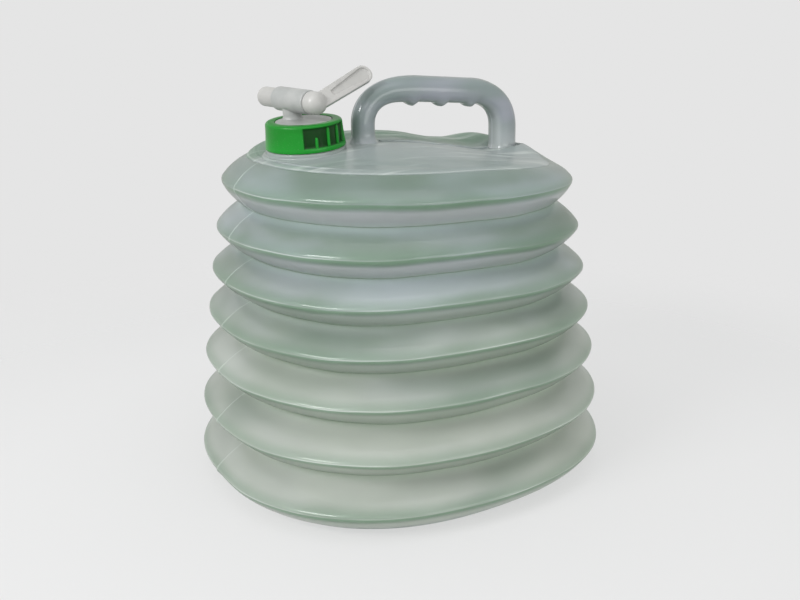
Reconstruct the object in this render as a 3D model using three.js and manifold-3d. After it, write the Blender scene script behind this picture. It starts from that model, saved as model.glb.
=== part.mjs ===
// Collapsible accordion water container with a screw ring and a lever tap.
// Millimetres, +Z up, +X along the carry handle away from the neck.
// The origin is the middle of the face that the container stands on.
import * as THREE from 'three';
import { mergeVertices } from 'three/addons/utils/BufferGeometryUtils.js';
import Module from 'manifold-3d';

const wasm = await Module();
wasm.setup();

// Driving sizes of the bellows, each half side measured across the flats
const fold_count = 7;
const base_crest_half = 155;
const top_crest_half = 132;
const base_valley_half = 129;
const top_valley_half = 118;
const mean_pitch = 35;
const pitch_shares = [1.07, 1.07, 0.97, 0.93, 0.93, 1.03]; // from the base up
const crest_taper_power = 1.35;
const plan_exponent = 2.3;
const bellows_wall = 1.2;
const crest_land = 3.2;
const panel_bulge = 1.8;
const seam_gap = 0.3;

// Driving sizes of the base pan
const base_crest_height = 19;
const pan_rim_half = 139;
const pan_rim_height = 4;
const foot_outer_half = 132;
const foot_inner_half = 110;
const foot_recess = 2.5;
const recess_run = 4;
const base_wall = 1.6;
const turn_up_share = 0.6;
const turn_up_height = 0.8;
const foot_inside_inset = 0.8;
const pan_rim_width = 2.4;

// Driving sizes of the top plate
const rim_half = 114;
const rim_above_crest = 16.7;
const plate_wall = 2;
const plate_crown = 9;
const crown_apex_x = -28;
const plate_sag = 6.5;
const sag_power = 1.2;
const plate_ring_shares = [0, 0.15, 0.33, 0.55, 0.85]; // from the rim to the apex
const parting_ridge_width = 1.6;
const parting_ridge_height = 1.2;

// Driving sizes of the carry handle, heights above the rim of the plate
const left_leg_offset = 47.5; // from the axis of the neck
const right_leg_inset = 16; // from the rim of the plate
const grip_rise = 51;
const grip_drop = 2.3;
const left_shoulder_reach = 42;
const left_shoulder_fall = 26;
const right_shoulder_reach = 36;
const right_shoulder_fall = 30;
const shoulder_pull_share = 0.62;
const leg_half_thick = 10.6;
const grip_half_thick = 10.2;
const handle_half_depth = 11.5;
const handle_wall = 1.8;
const leg_foot_flare = 1.6;
const foot_flare_height = 7;
const finger_bump_count = 3;
const finger_bump_pitch = 27;
const finger_bump_height = 3.2;
const finger_bump_half_width = 5;
const first_bump_offset = 39; // from the left leg
const leg_overrun = 10;

// Driving sizes of the neck, heights along its own leaning axis from the rim of the plate
const neck_inset = 37.5; // from the rim of the plate
const neck_lean_degrees = 5.5;
const neck_tilt_degrees = 4; // toward the side that the lever is on
const neck_bore_radius = 20.5;
const neck_tube_radius = 24;
const neck_root_radius = 23;
const neck_root_drop = 4;
const collar_radius = 32;
const collar_top = 6.6;
const collar_edge = 1.4;
const collar_overrun = 10;
const stop_ring_radius = 29;
const closure_gap = 0.3;

// Driving sizes of the screw ring
const ring_bottom = 10.6;
const ring_height = 19.8;
const ring_lid = 2.6;
const ring_hole_radius = 20.8;
const ring_inner_radius = 25.2;
const ring_radius = 27.8;
const ring_bead_radius = 29.1;
const ring_bead_height = 2.4;
const ring_top_round = 2.4;
const round_middle_share = 0.25;
const window_depth = 1.4;
const window_count = 2;
const window_degrees = 82;
const window_start_degrees = -115;
const ribs_per_window = 3;
const rib_width = 2.2;
const rib_short_share = 0.55;
const rib_run = 2.8;
const rib_overlap = 0.3;

// Driving sizes of the washer and the tap
const washer_thick = 1.8;
const washer_inner_radius = 20.6;
const flange_thick = 2;
const flange_radius = 24.3;
const disc_rise = 1.9;
const stem_radius = 6.3;
const stem_bore_radius = 3.6;
const stem_offset = -12.5;
const barrel_radius = 9;
const barrel_rise = 13.4;
const barrel_back = 13.5;
const barrel_front = 22.5;
const plug_radius = 7.4;
const plug_clearance = 0.1;
const spout_length = 18;
const spout_bore_radius = 5;
const spout_bore_past = 7.2;
const spout_round = 1.4;
const hub_radius = 9.2;
const hub_length = 6;
const hub_dome = 7;
const tap_yaw_degrees = -73.5;
const lever_rise_degrees = 17.5;
const lever_reach = 55;
const lever_thick = 6.2;
const lever_root_half = 4.8;
const lever_tip_half = 7;
const recess_depth = 1.2;
const recess_root_half = 1.4;
const recess_tip_half = 4;
const recess_start = 17;
const recess_margin = 3;

// Facets
const plan_sides = 40;
const round_sides = 40;
const small_sides = 24;
const handle_sides = 12;
const handle_steps_by_stretch = [6, 7, 13, 7, 6];
const leg_core_stations = 5;
const ridge_steps = 12;
const dome_steps = 4;
const window_arc_steps = 8;
const lever_tip_steps = 12;
const overrun = 20;

const radians = THREE.MathUtils.degToRad;
const mix = THREE.MathUtils.lerp;

// Closed bodies from rings, booleans and profiles

function outward(geometry) {
  const at = geometry.attributes.position;
  const index = geometry.index.array;
  let volume = 0;
  const a = new THREE.Vector3();
  const b = new THREE.Vector3();
  const c = new THREE.Vector3();
  for (let i = 0; i < index.length; i += 3) {
    a.fromBufferAttribute(at, index[i]);
    b.fromBufferAttribute(at, index[i + 1]);
    c.fromBufferAttribute(at, index[i + 2]);
    volume += a.dot(b.cross(c));
  }
  if (volume < 0) index.reverse();
  return geometry;
}

// A closed body through rings of equal count. A loop joins its last ring to its first,
// and otherwise both end rings are closed by a fan round their middle.
function ringBody(rings, loop) {
  const sides = rings[0].length;
  const points = rings.flat();
  const index = [];
  const spans = loop ? rings.length : rings.length - 1;
  for (let r = 0; r < spans; r++) {
    const low = r * sides;
    const high = ((r + 1) % rings.length) * sides;
    for (let i = 0; i < sides; i++) {
      const j = (i + 1) % sides;
      index.push(low + i, low + j, high + j, low + i, high + j, high + i);
    }
  }
  if (!loop) {
    const ends = [[0, true], [(rings.length - 1) * sides, false]];
    for (const [start, first] of ends) {
      const ring = points.slice(start, start + sides);
      const middle = ring.reduce((sum, p) => sum.add(p), new THREE.Vector3()).divideScalar(sides);
      const hub = points.push(middle) - 1;
      for (let i = 0; i < sides; i++) {
        const j = (i + 1) % sides;
        if (first) index.push(hub, start + j, start + i);
        else index.push(hub, start + i, start + j);
      }
    }
  }
  const geometry = new THREE.BufferGeometry().setFromPoints(points);
  geometry.setIndex(index);
  return outward(geometry);
}

function solid(geometry) {
  const bare = geometry.clone();
  bare.deleteAttribute('normal');
  bare.deleteAttribute('uv');
  const merged = outward(mergeVertices(bare));
  const vertProperties = new Float32Array(merged.attributes.position.array);
  const triVerts = new Uint32Array(merged.index.array);
  return new wasm.Manifold(new wasm.Mesh({ numProp: 3, vertProperties, triVerts }));
}

function surface(body) {
  const mesh = body.getMesh();
  const geometry = new THREE.BufferGeometry();
  geometry.setAttribute('position', new THREE.BufferAttribute(mesh.vertProperties, 3));
  geometry.setIndex(new THREE.BufferAttribute(mesh.triVerts, 1));
  return geometry;
}

// A profile of [radius, height] pairs turned about the Z axis
function turned(profile, sides) {
  const closed = [...profile, profile[0]].map(([r, z]) => new THREE.Vector2(r, z));
  const onAxis = profile[0][0] === 0;
  const points = onAxis ? closed.slice(0, -1) : closed;
  return new THREE.LatheGeometry(points, sides).rotateX(Math.PI / 2);
}

// The plan of the container: a superellipse between a square and a circle
function planRing(half, heightAt, shift = 0) {
  const ring = [];
  for (let i = 0; i < plan_sides; i++) {
    const angle = (i / plan_sides) * Math.PI * 2;
    const c = Math.abs(Math.cos(angle));
    const s = Math.abs(Math.sin(angle));
    const reach = half / (c ** plan_exponent + s ** plan_exponent) ** (1 / plan_exponent);
    const x = shift + reach * Math.cos(angle);
    const y = reach * Math.sin(angle);
    ring.push(new THREE.Vector3(x, y, heightAt(x, y)));
  }
  return ring;
}

// Offsets an open profile of [half, height] pairs by the wall, to its right.
// Its two ends keep their height, so that neighbours meet on level faces.
function insideProfile(profile, wall) {
  const normals = [];
  for (let i = 0; i + 1 < profile.length; i++) {
    const run = profile[i + 1][0] - profile[i][0];
    const rise = profile[i + 1][1] - profile[i][1];
    const length = Math.hypot(run, rise);
    normals.push([rise / length, -run / length]);
  }
  return profile.map(([half, height], i) => {
    const first = normals[Math.max(i - 1, 0)];
    const second = normals[Math.min(i, normals.length - 1)];
    if (i === 0 || i === profile.length - 1) return [half + wall / first[0], height];
    const share = wall / (1 + first[0] * second[0] + first[1] * second[1]);
    return [half + (first[0] + second[0]) * share, height + (first[1] + second[1]) * share];
  });
}

// Heights of the crests and valleys, from the base up

const crest_heights = [base_crest_height];
for (const share of pitch_shares) crest_heights.push(crest_heights.at(-1) + mean_pitch * share);
const crest_halves = crest_heights.map((_, i) => {
  const up = (i / (fold_count - 1)) ** crest_taper_power;
  return mix(base_crest_half, top_crest_half, up);
});
const rim_height = crest_heights.at(-1) + rim_above_crest;
const edges = [[pan_rim_half, pan_rim_height]];
for (let i = 0; i + 1 < fold_count; i++) {
  const half = mix(base_valley_half, top_valley_half, i / (fold_count - 2));
  edges.push([half, (crest_heights[i] + crest_heights[i + 1]) / 2]);
}
edges.push([rim_half, rim_height]);

// Places along the handle, each from what stands beside it

const neck_x = neck_inset - rim_half;
const left_leg_x = neck_x + left_leg_offset;
const right_leg_x = rim_half - right_leg_inset;
const first_bump_x = left_leg_x + first_bump_offset;

// The rim and the plate sag a little at the end away from the neck
const sagAt = (x) => plate_sag * (Math.max(x, 0) / rim_half) ** sag_power;

// The outside of one fold, from its upper edge over the crest to its lower edge
function foldOutside(level) {
  const [lower_half, lower_height] = edges[level];
  const [upper_half, upper_height] = edges[level + 1];
  const crest = [crest_halves[level], crest_heights[level]];
  const top = [upper_half, upper_height - seam_gap / 2];
  const foot = [lower_half, lower_height + seam_gap / 2];
  const belly = (end, side) => {
    const run = crest[0] - end[0];
    const rise = crest[1] - end[1];
    const bulge = panel_bulge / Math.hypot(run, rise);
    return [(end[0] + crest[0]) / 2 + Math.abs(rise) * bulge, (end[1] + crest[1]) / 2 + side * run * bulge];
  };
  return [
    top,
    belly(top, 1),
    [crest[0], crest[1] + crest_land / 2],
    [crest[0], crest[1] - crest_land / 2],
    belly(foot, -1),
    foot,
  ];
}

function bellowsFold(level) {
  const outside = foldOutside(level);
  const inside = insideProfile(outside, bellows_wall).reverse();
  const follows_rim = level === fold_count - 1;
  const rings = [...outside, ...inside].map(([half, height], i, all) => {
    const sags = follows_rim && (i === 0 || i === all.length - 1);
    return planRing(half, (x) => height - (sags ? sagAt(x) : 0));
  });
  return ringBody(rings, true);
}

// The base pan: a turned-up rim, a flat foot and a shallow recess in the middle
function basePan() {
  const outside = [
    [pan_rim_half, pan_rim_height - seam_gap / 2],
    [mix(pan_rim_half, foot_outer_half, turn_up_share), turn_up_height],
    [foot_outer_half, 0],
    [foot_inner_half, 0],
    [foot_inner_half - recess_run, foot_recess],
  ];
  const floor_top = foot_recess + base_wall;
  const inside = [
    [foot_inner_half - recess_run, floor_top],
    [foot_inner_half, base_wall],
    [foot_outer_half - foot_inside_inset, base_wall],
    [pan_rim_half - pan_rim_width, pan_rim_height - seam_gap / 2],
  ].reverse();
  const under = planRing(foot_inner_half / 2, () => foot_recess);
  const over = planRing(foot_inner_half / 2, () => floor_top);
  const rings = [...outside].reverse().concat(inside);
  return ringBody([under, ...rings.map(([half, z]) => planRing(half, () => z)), over], false);
}

// The crowned top plate

const crownShare = (t) => t * t * (3 - 2 * t);

function plateRing(t, base_height) {
  const rise = base_height + plate_crown * crownShare(t);
  return planRing(rim_half * (1 - t), (x) => rise - sagAt(x), crown_apex_x * t);
}

// The height of the plate's outside on the middle line, at a place along the handle
function ridgeHeight(x) {
  const share = x > crown_apex_x
    ? (rim_half - x) / (rim_half - crown_apex_x)
    : (x + rim_half) / (crown_apex_x + rim_half);
  const t = Math.min(Math.max(share, 0), 1);
  return rim_height + plate_wall + plate_crown * crownShare(t) - sagAt(x);
}

function plateSlab() {
  const low = rim_height + seam_gap / 2;
  const over = plate_ring_shares.map((t) => plateRing(t, rim_height + plate_wall));
  const under = plate_ring_shares.map((t) => plateRing(t, low)).reverse();
  return ringBody([...under, ...over], false);
}

// What lies under the outside of the plate and of the top fold, with a gap, for the pieces on it
function underPlate() {
  const lift = seam_gap + seam_gap / 2;
  const plate_top = rim_height + plate_wall + lift;
  const fold = insideProfile(foldOutside(fold_count - 1), -lift).reverse();
  const rings = [
    ...fold.map(([half, height]) => planRing(half, () => height)),
    planRing(rim_half + lift, (x) => plate_top - sagAt(x)),
    ...plate_ring_shares.slice(1).map((t) => plateRing(t, plate_top)),
  ];
  return solid(ringBody(rings, false));
}

// The carry handle: a hollow loop swept along its middle line, open into the container

const grip_height = rim_height + grip_rise;

function handlePath() {
  const low = rim_height - leg_overrun;
  const right_grip = grip_height - grip_drop;
  const path = new THREE.Path();
  const left_start = grip_height - left_shoulder_fall;
  const right_end = right_grip - right_shoulder_fall;
  path.moveTo(left_leg_x, low);
  path.lineTo(left_leg_x, left_start);
  path.bezierCurveTo(
    left_leg_x, left_start + left_shoulder_fall * shoulder_pull_share,
    left_leg_x + left_shoulder_reach * (1 - shoulder_pull_share), grip_height,
    left_leg_x + left_shoulder_reach, grip_height,
  );
  path.lineTo(right_leg_x - right_shoulder_reach, right_grip);
  path.bezierCurveTo(
    right_leg_x - right_shoulder_reach * (1 - shoulder_pull_share), right_grip,
    right_leg_x, right_end + right_shoulder_fall * shoulder_pull_share,
    right_leg_x, right_end,
  );
  path.lineTo(right_leg_x, low);
  return path;
}

function handleStations() {
  const stations = [];
  handlePath().curves.forEach((curve, c, curves) => {
    const steps = handle_steps_by_stretch[c];
    const last = c === curves.length - 1 ? 1 : 0;
    for (let i = 0; i < steps + last; i++) {
      const place = curve.getPoint(i / steps);
      const ahead = curve.getTangent(i / steps);
      stations.push({ place, ahead });
    }
  });
  return stations;
}

// How far the underside of the grip stands out for the ridges between the fingers
function fingerBump(x) {
  let bump = 0;
  for (let i = 0; i < finger_bump_count; i++) {
    const off = (x - first_bump_x - i * finger_bump_pitch) / finger_bump_half_width;
    bump = Math.max(bump, Math.cos(Math.min(Math.abs(off), 1) * Math.PI / 2));
  }
  return bump * finger_bump_height;
}

function handleRing({ place, ahead }, inset) {
  const above = place.y - ridgeHeight(place.x);
  const steep = Math.abs(ahead.y);
  const flare = leg_foot_flare * steep * Math.max(1 - above / foot_flare_height, 0);
  const thick = mix(grip_half_thick, leg_half_thick, steep) + Math.min(flare, leg_foot_flare) - inset;
  const deep = handle_half_depth + Math.min(flare, leg_foot_flare) - inset;
  const out = new THREE.Vector2(-ahead.y, ahead.x);
  const ring = [];
  for (let i = 0; i < handle_sides; i++) {
    const angle = (i / handle_sides) * Math.PI * 2;
    const under = Math.max(-Math.cos(angle), 0) ** 2;
    const bump = inset > 0 ? 0 : fingerBump(place.x) * under * (1 - steep);
    const reach = thick * Math.cos(angle) - bump;
    ring.push(new THREE.Vector3(place.x + out.x * reach, deep * Math.sin(angle), place.y + out.y * reach));
  }
  return ring;
}

function carryHandle(keep_out) {
  const stations = handleStations();
  const outer = stations.map((s) => handleRing(s, 0));
  const inner = stations.map((s) => handleRing(s, handle_wall)).reverse();
  return surface(solid(ringBody([...outer, ...inner], true)).subtract(keep_out));
}

// The two holes under the hollow legs
function legCores() {
  const stations = handleStations();
  const ends = [stations.slice(0, leg_core_stations), stations.slice(-leg_core_stations)];
  return ends.map((part) => solid(ringBody(part.map((s) => handleRing(s, handle_wall)), false)));
}

// The thin raised line of the mould's parting plane on the plate, between the legs
function partingRidge() {
  const left = left_leg_x + leg_half_thick + leg_foot_flare;
  const right = right_leg_x - leg_half_thick - leg_foot_flare;
  const line = new THREE.Shape();
  line.moveTo(left, ridgeHeight(left) - plate_wall / 2);
  line.lineTo(right, ridgeHeight(right) - plate_wall / 2);
  for (let i = ridge_steps; i >= 0; i--) {
    const x = mix(left, right, i / ridge_steps);
    line.lineTo(x, ridgeHeight(x) + parting_ridge_height);
  }
  const web = new THREE.ExtrudeGeometry(line, { depth: parting_ridge_width, bevelEnabled: false });
  return web.rotateX(Math.PI / 2).translate(0, parting_ridge_width / 2, 0);
}

// The neck, turned about its own axis and then leaned outward

const neckFrame = new THREE.Group();
neckFrame.position.set(neck_x, 0, rim_height);
neckFrame.rotation.set(radians(neck_tilt_degrees), -radians(neck_lean_degrees), 0, 'YXZ');
neckFrame.updateMatrix();

const ring_top = ring_bottom + ring_height;
const lid_under = ring_top - ring_lid;
const flange_top = lid_under - closure_gap;
const flange_under = flange_top - flange_thick;
const washer_under = flange_under - closure_gap - washer_thick;
const neck_top = washer_under - closure_gap;

function neckCutter() {
  const radius = neck_root_radius + seam_gap;
  const bar = turned([[0, -overrun], [radius, -overrun], [radius, overrun], [0, overrun]], round_sides);
  return solid(bar.applyMatrix4(neckFrame.matrix));
}

function screwNeck(keep_out) {
  const stop_top = ring_bottom - closure_gap;
  const upper = turned([
    [neck_bore_radius, -neck_root_drop],
    [collar_radius, -collar_overrun],
    [collar_radius, collar_top - collar_edge],
    [collar_radius - collar_edge, collar_top],
    [stop_ring_radius, collar_top],
    [stop_ring_radius, stop_top],
    [neck_tube_radius, stop_top],
    [neck_tube_radius, neck_top],
    [neck_bore_radius, neck_top],
  ], round_sides);
  const root = turned([
    [neck_bore_radius, -neck_root_drop],
    [neck_root_radius, -neck_root_drop],
    [neck_root_radius, collar_top],
    [neck_bore_radius, collar_top],
  ], round_sides);
  const lean = (geometry) => solid(geometry.applyMatrix4(neckFrame.matrix));
  return surface(lean(upper).subtract(keep_out).add(lean(root)));
}

function topPlate() {
  let plate = solid(plateSlab()).add(solid(partingRidge())).subtract(neckCutter());
  for (const core of legCores()) plate = plate.subtract(core);
  return surface(plate);
}

// The screw ring, with two ribbed finger windows in its side

function sector(inner, outer, start, sweep, low, high) {
  const shape = new THREE.Shape();
  shape.absarc(0, 0, outer, start, start + sweep, false);
  shape.absarc(0, 0, inner, start + sweep, start, true);
  const options = { depth: high - low, bevelEnabled: false, curveSegments: window_arc_steps };
  return solid(new THREE.ExtrudeGeometry(shape, options).translate(0, 0, low));
}

function ringCap() {
  const shoulder = ring_bottom + ring_bead_height;
  const bead_slope = (ring_bead_radius - ring_radius) / 2;
  let cap = solid(turned([
    [ring_inner_radius, ring_bottom],
    [ring_bead_radius, ring_bottom],
    [ring_bead_radius, shoulder - bead_slope],
    [ring_radius, shoulder + bead_slope],
    [ring_radius, ring_top - ring_top_round],
    [ring_radius - ring_top_round * round_middle_share, ring_top - ring_top_round * round_middle_share],
    [ring_radius - ring_top_round, ring_top],
    [ring_hole_radius, ring_top],
    [ring_hole_radius, lid_under],
    [ring_inner_radius, lid_under],
  ], round_sides));
  const low = shoulder + bead_slope;
  const high = ring_top - ring_top_round;
  const sweep = radians(window_degrees);
  const floor = ring_radius - window_depth;
  for (let w = 0; w < window_count; w++) {
    const start = radians(window_start_degrees) + (w / window_count) * Math.PI * 2;
    cap = cap.subtract(sector(floor, ring_bead_radius + overrun, start, sweep, low, high));
    for (let r = 1; r <= ribs_per_window; r++) {
      const angle = start + (sweep * r) / (ribs_per_window + 1);
      const height = (high - low) * (r === 1 ? rib_short_share : 1);
      const rib = new THREE.BoxGeometry(rib_run, rib_width, height + rib_overlap * 2);
      rib.translate(ring_radius - rib_run / 2 - rib_overlap, 0, low + height / 2).rotateZ(angle);
      cap = cap.add(solid(rib));
    }
  }
  return surface(cap);
}

function sealWasher() {
  return turned([
    [washer_inner_radius, washer_under],
    [neck_tube_radius, washer_under],
    [neck_tube_radius, washer_under + washer_thick],
    [washer_inner_radius, washer_under + washer_thick],
  ], round_sides);
}

// The tap, along its own X axis from the spout to the lever

const barrel_height = ring_top + barrel_rise;
const barrel_start = stem_offset - barrel_back;
const barrel_end = stem_offset + barrel_front;
const bore_radius = plug_radius + plug_clearance;

function rod(radius, from, to) {
  const bar = new THREE.CylinderGeometry(radius, radius, to - from, small_sides);
  return solid(bar.rotateZ(Math.PI / 2).translate((from + to) / 2, 0, barrel_height));
}

function post(radius, low, high, x) {
  const bar = new THREE.CylinderGeometry(radius, radius, high - low, small_sides);
  return solid(bar.rotateX(Math.PI / 2).translate(x, 0, (low + high) / 2));
}

function tapBody() {
  const disc_radius = ring_hole_radius - closure_gap * 2;
  const disc_top = flange_top + disc_rise;
  const flange = turned([
    [0, flange_under],
    [flange_radius, flange_under],
    [flange_radius, flange_top],
    [disc_radius, flange_top],
    [disc_radius, disc_top],
    [0, disc_top],
  ], round_sides);
  return surface(
    solid(flange)
      .add(post(stem_radius, flange_top, barrel_height, stem_offset))
      .add(rod(barrel_radius, barrel_start, barrel_end))
      .subtract(rod(bore_radius, barrel_start - overrun, barrel_end + overrun))
      .subtract(post(stem_bore_radius, flange_under - overrun, barrel_height, stem_offset)),
  );
}

// A tapered strip with a round tip, from the hub outward, lying flat
function strip(start, end, root_half, tip_half, thick) {
  const shape = new THREE.Shape();
  shape.moveTo(root_half, start);
  shape.lineTo(tip_half, end - tip_half);
  shape.absarc(0, end - tip_half, tip_half, 0, Math.PI, false);
  shape.lineTo(-root_half, start);
  shape.closePath();
  return new THREE.ExtrudeGeometry(shape, { depth: thick, bevelEnabled: false, curveSegments: lever_tip_steps });
}

function tapLever() {
  const spout_end = barrel_start - spout_length;
  const hub_start = barrel_end + closure_gap;
  const hub_end = hub_start + hub_length + hub_dome;
  const middle = hub_start + (hub_length + hub_dome) / 2;
  const profile = [
    [0, spout_end],
    [plug_radius - spout_round, spout_end],
    [plug_radius, spout_end + spout_round],
    [plug_radius, hub_start],
    [hub_radius, hub_start],
    [hub_radius, hub_start + hub_length],
  ];
  for (let i = 1; i <= dome_steps; i++) {
    const turn = (i / dome_steps) * Math.PI / 2;
    const radius = i === dome_steps ? 0 : hub_radius * Math.cos(turn);
    profile.push([radius, hub_start + hub_length + (hub_end - hub_start - hub_length) * Math.sin(turn)]);
  }
  const core = turned(profile, small_sides).rotateY(Math.PI / 2).translate(0, 0, barrel_height);
  const rise = radians(lever_rise_degrees);
  const seat = (geometry) => {
    geometry.rotateX(rise);
    return solid(geometry.translate(middle, 0, barrel_height));
  };
  const arm = strip(0, lever_reach, lever_root_half, lever_tip_half, lever_thick).translate(0, 0, -lever_thick / 2);
  const dish_floor = lever_thick / 2 - recess_depth;
  const dish_end = lever_reach - recess_margin;
  const dish = strip(recess_start, dish_end, recess_root_half, recess_tip_half, overrun).translate(0, 0, dish_floor);
  const port = new THREE.CylinderGeometry(stem_bore_radius, stem_bore_radius, plug_radius + overrun, small_sides);
  port.translate(stem_offset, -(plug_radius + overrun) / 2, barrel_height);
  return surface(
    solid(core)
      .add(seat(arm))
      .subtract(seat(dish))
      .subtract(rod(spout_bore_radius, spout_end - overrun, stem_offset + spout_bore_past))
      .subtract(solid(port)),
  );
}

// The assembly

function piece(name, geometry, color, roughness, opacity = 1) {
  const look = { color, roughness, metalness: 0, opacity, transparent: opacity < 1 };
  const mesh = new THREE.Mesh(geometry, new THREE.MeshStandardMaterial(look));
  mesh.name = name;
  return mesh;
}

const milky_roughness = 0.35;
const milky_opacity = 0.8;
const milky = '#a9b7b2';
const milky_dark = '#9fb3a6';
const cap_green = '#2f9a41';
const tap_clear = '#d9dcd8';
const tap_white = '#ecebe7';
const washer_grey = '#c9c6bd';

const container = new THREE.Group();
const keep_out = underPlate();

container.add(piece('base_pan', basePan(), milky_dark, milky_roughness, milky_opacity));
for (let level = 0; level < fold_count; level++) {
  const number = fold_count - level;
  const shade = level % 2 ? milky : milky_dark;
  container.add(piece(`bellows_fold_${number}`, bellowsFold(level), shade, milky_roughness, milky_opacity));
}
container.add(piece('top_plate', topPlate(), milky, milky_roughness, milky_opacity));
container.add(piece('screw_neck', screwNeck(keep_out), milky, milky_roughness, milky_opacity));
container.add(piece('carry_handle', carryHandle(keep_out), milky, milky_roughness, milky_opacity));

neckFrame.add(piece('seal_washer', sealWasher(), washer_grey, 0.6));
neckFrame.add(piece('ring_cap', ringCap(), cap_green, 0.35));
const tapFrame = new THREE.Group();
tapFrame.rotation.z = radians(tap_yaw_degrees);
tapFrame.add(piece('tap_body', tapBody(), tap_clear, 0.3, 0.9));
tapFrame.add(piece('tap_lever', tapLever(), tap_white, 0.3));
neckFrame.add(tapFrame);
container.add(neckFrame);

export default container;
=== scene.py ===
"""Looks of a collapsible accordion water container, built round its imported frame.

Sizes are millimetres in the same axes as the frame: +Z up, +X along the carry handle away
from the neck, with the origin in the middle of the face that the container stands on.
"""
import logging
import math
from dataclasses import dataclass, field
from enum import Enum

import bpy
import numpy as np
from mathutils import Matrix, Vector


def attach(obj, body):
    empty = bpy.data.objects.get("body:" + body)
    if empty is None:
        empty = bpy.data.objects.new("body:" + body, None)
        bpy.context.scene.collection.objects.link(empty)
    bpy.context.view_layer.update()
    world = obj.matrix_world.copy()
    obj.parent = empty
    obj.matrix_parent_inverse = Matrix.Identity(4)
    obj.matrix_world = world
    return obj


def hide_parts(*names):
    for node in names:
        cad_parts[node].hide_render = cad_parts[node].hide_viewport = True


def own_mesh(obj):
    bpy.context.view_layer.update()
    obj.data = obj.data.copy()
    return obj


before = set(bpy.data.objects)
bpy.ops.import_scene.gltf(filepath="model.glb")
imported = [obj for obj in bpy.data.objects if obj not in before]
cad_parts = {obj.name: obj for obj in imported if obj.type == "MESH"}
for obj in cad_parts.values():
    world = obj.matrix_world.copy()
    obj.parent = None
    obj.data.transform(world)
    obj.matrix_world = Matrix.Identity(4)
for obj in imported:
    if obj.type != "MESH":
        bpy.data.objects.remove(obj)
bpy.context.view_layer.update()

log = logging.getLogger("water_container")
MM = 0.001
TURN = 2 * math.pi

Mesh = bpy.types.Mesh
Piece = bpy.types.Object
Finish = bpy.types.Material
Node = bpy.types.Node
Socket = bpy.types.NodeSocket
Tree = bpy.types.NodeTree
Colour = tuple[float, float, float, float]
Triple = tuple[float, float, float]
Pair = tuple[float, float]


class Body(Enum):
    """The moving bodies of the frame that the pieces ride on."""

    BASE = "base"
    TOP = "top"
    RING = "ring"
    TAP = "tap"
    LEVER = "lever"


# Meshes from rings of points

def closed_mesh(name: str, rings: np.ndarray, loop: bool) -> Mesh:
    """Makes a closed mesh through rings of equal count.

    Args:
        name: The name of the mesh.
        rings: An array of rings, points and coordinates, in millimetres.
        loop: True where the last ring joins the first, False to close both ends by a fan.

    Returns:
        The mesh in metres, with its faces pointing outward.
    """
    count, sides, _ = rings.shape
    points = rings.reshape(-1, 3)
    spans = np.arange(count if loop else count - 1)
    low = (spans * sides)[:, None]
    high = (((spans + 1) % count) * sides)[:, None]
    here = np.arange(sides)[None, :]
    ahead = (here + 1) % sides
    quads = np.stack([low + here, low + ahead, high + ahead, high + here], axis=-1).reshape(-1, 4)
    middle = points.mean(axis=0)
    a, b, c, d = (points[quads[:, k]] - middle for k in range(4))
    volume = np.einsum("ij,ij->", a, np.cross(b, c)) + np.einsum("ij,ij->", a, np.cross(c, d))
    faces = quads.tolist()
    if not loop:
        for start, flip in ((0, True), ((count - 1) * sides, False)):
            edge = points[start:start + sides]
            ends = np.roll(edge, -1, axis=0)
            fan = np.einsum("j,ij->", edge.mean(axis=0) - middle, np.cross(edge - middle, ends - middle))
            volume += -fan if flip else fan
            hub = len(points)
            points = np.vstack([points, edge.mean(axis=0)])
            for k in range(sides):
                pair = [start + k, start + (k + 1) % sides]
                faces.append([hub, pair[1], pair[0]] if flip else [hub, pair[0], pair[1]])
    if volume < 0:
        faces = [face[::-1] for face in faces]
    mesh = bpy.data.meshes.new(name)
    mesh.from_pydata((points * MM).tolist(), [], faces)
    mesh.update()
    return mesh


def dress(piece: Piece, material: Finish) -> None:
    """Gives a piece one finish."""
    piece.data.materials.clear()
    piece.data.materials.append(material)


def store(piece: Piece, name: str, values: np.ndarray) -> None:
    """Stores a number at each point of a piece, for its rule or its finish."""
    piece.data.attributes.new(name, "FLOAT", "POINT").data.foreach_set("value", values)


def place_piece(name: str, mesh: Mesh, material: Finish | None = None) -> Piece:
    """Links a mesh into the scene as a smooth-shaded piece.

    Args:
        name: The name of the piece.
        mesh: Its mesh, already in its place.
        material: Its finish, if it isn't set later.

    Returns:
        The new object, at the origin.
    """
    mesh.shade_smooth()
    piece = bpy.data.objects.new(name, mesh)
    bpy.context.scene.collection.objects.link(piece)
    if material:
        dress(piece, material)
    return piece


def ring_piece(name: str, rings: np.ndarray, loop: bool, material: Finish | None = None) -> Piece:
    """Places a piece whose closed mesh runs through rings, given as for closed_mesh."""
    return place_piece(name, closed_mesh(name, rings, loop), material)


def settle(piece: Piece) -> Piece:
    """Turns a piece's modifiers into a plain mesh.

    Args:
        piece: The piece with its modifiers.

    Returns:
        The same piece with one plain mesh and no modifiers.
    """
    bpy.context.view_layer.update()
    evaluated = piece.evaluated_get(bpy.context.evaluated_depsgraph_get())
    mesh = bpy.data.meshes.new_from_object(evaluated)
    piece.modifiers.clear()
    piece.data = mesh
    mesh.shade_smooth()
    return piece


def combine(piece: Piece, rings: np.ndarray, operation: str) -> None:
    """Joins a solid to a piece, or cuts it away.

    Args:
        piece: The piece that changes.
        rings: The rings of the solid, closed by fans.
        operation: "UNION" or "DIFFERENCE".
    """
    tool = ring_piece("tool", rings, False)
    step = piece.modifiers.new("shape", "BOOLEAN")
    step.operation = operation
    step.solver = "EXACT"
    step.object = tool
    settle(piece)
    bpy.data.objects.remove(tool)


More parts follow.
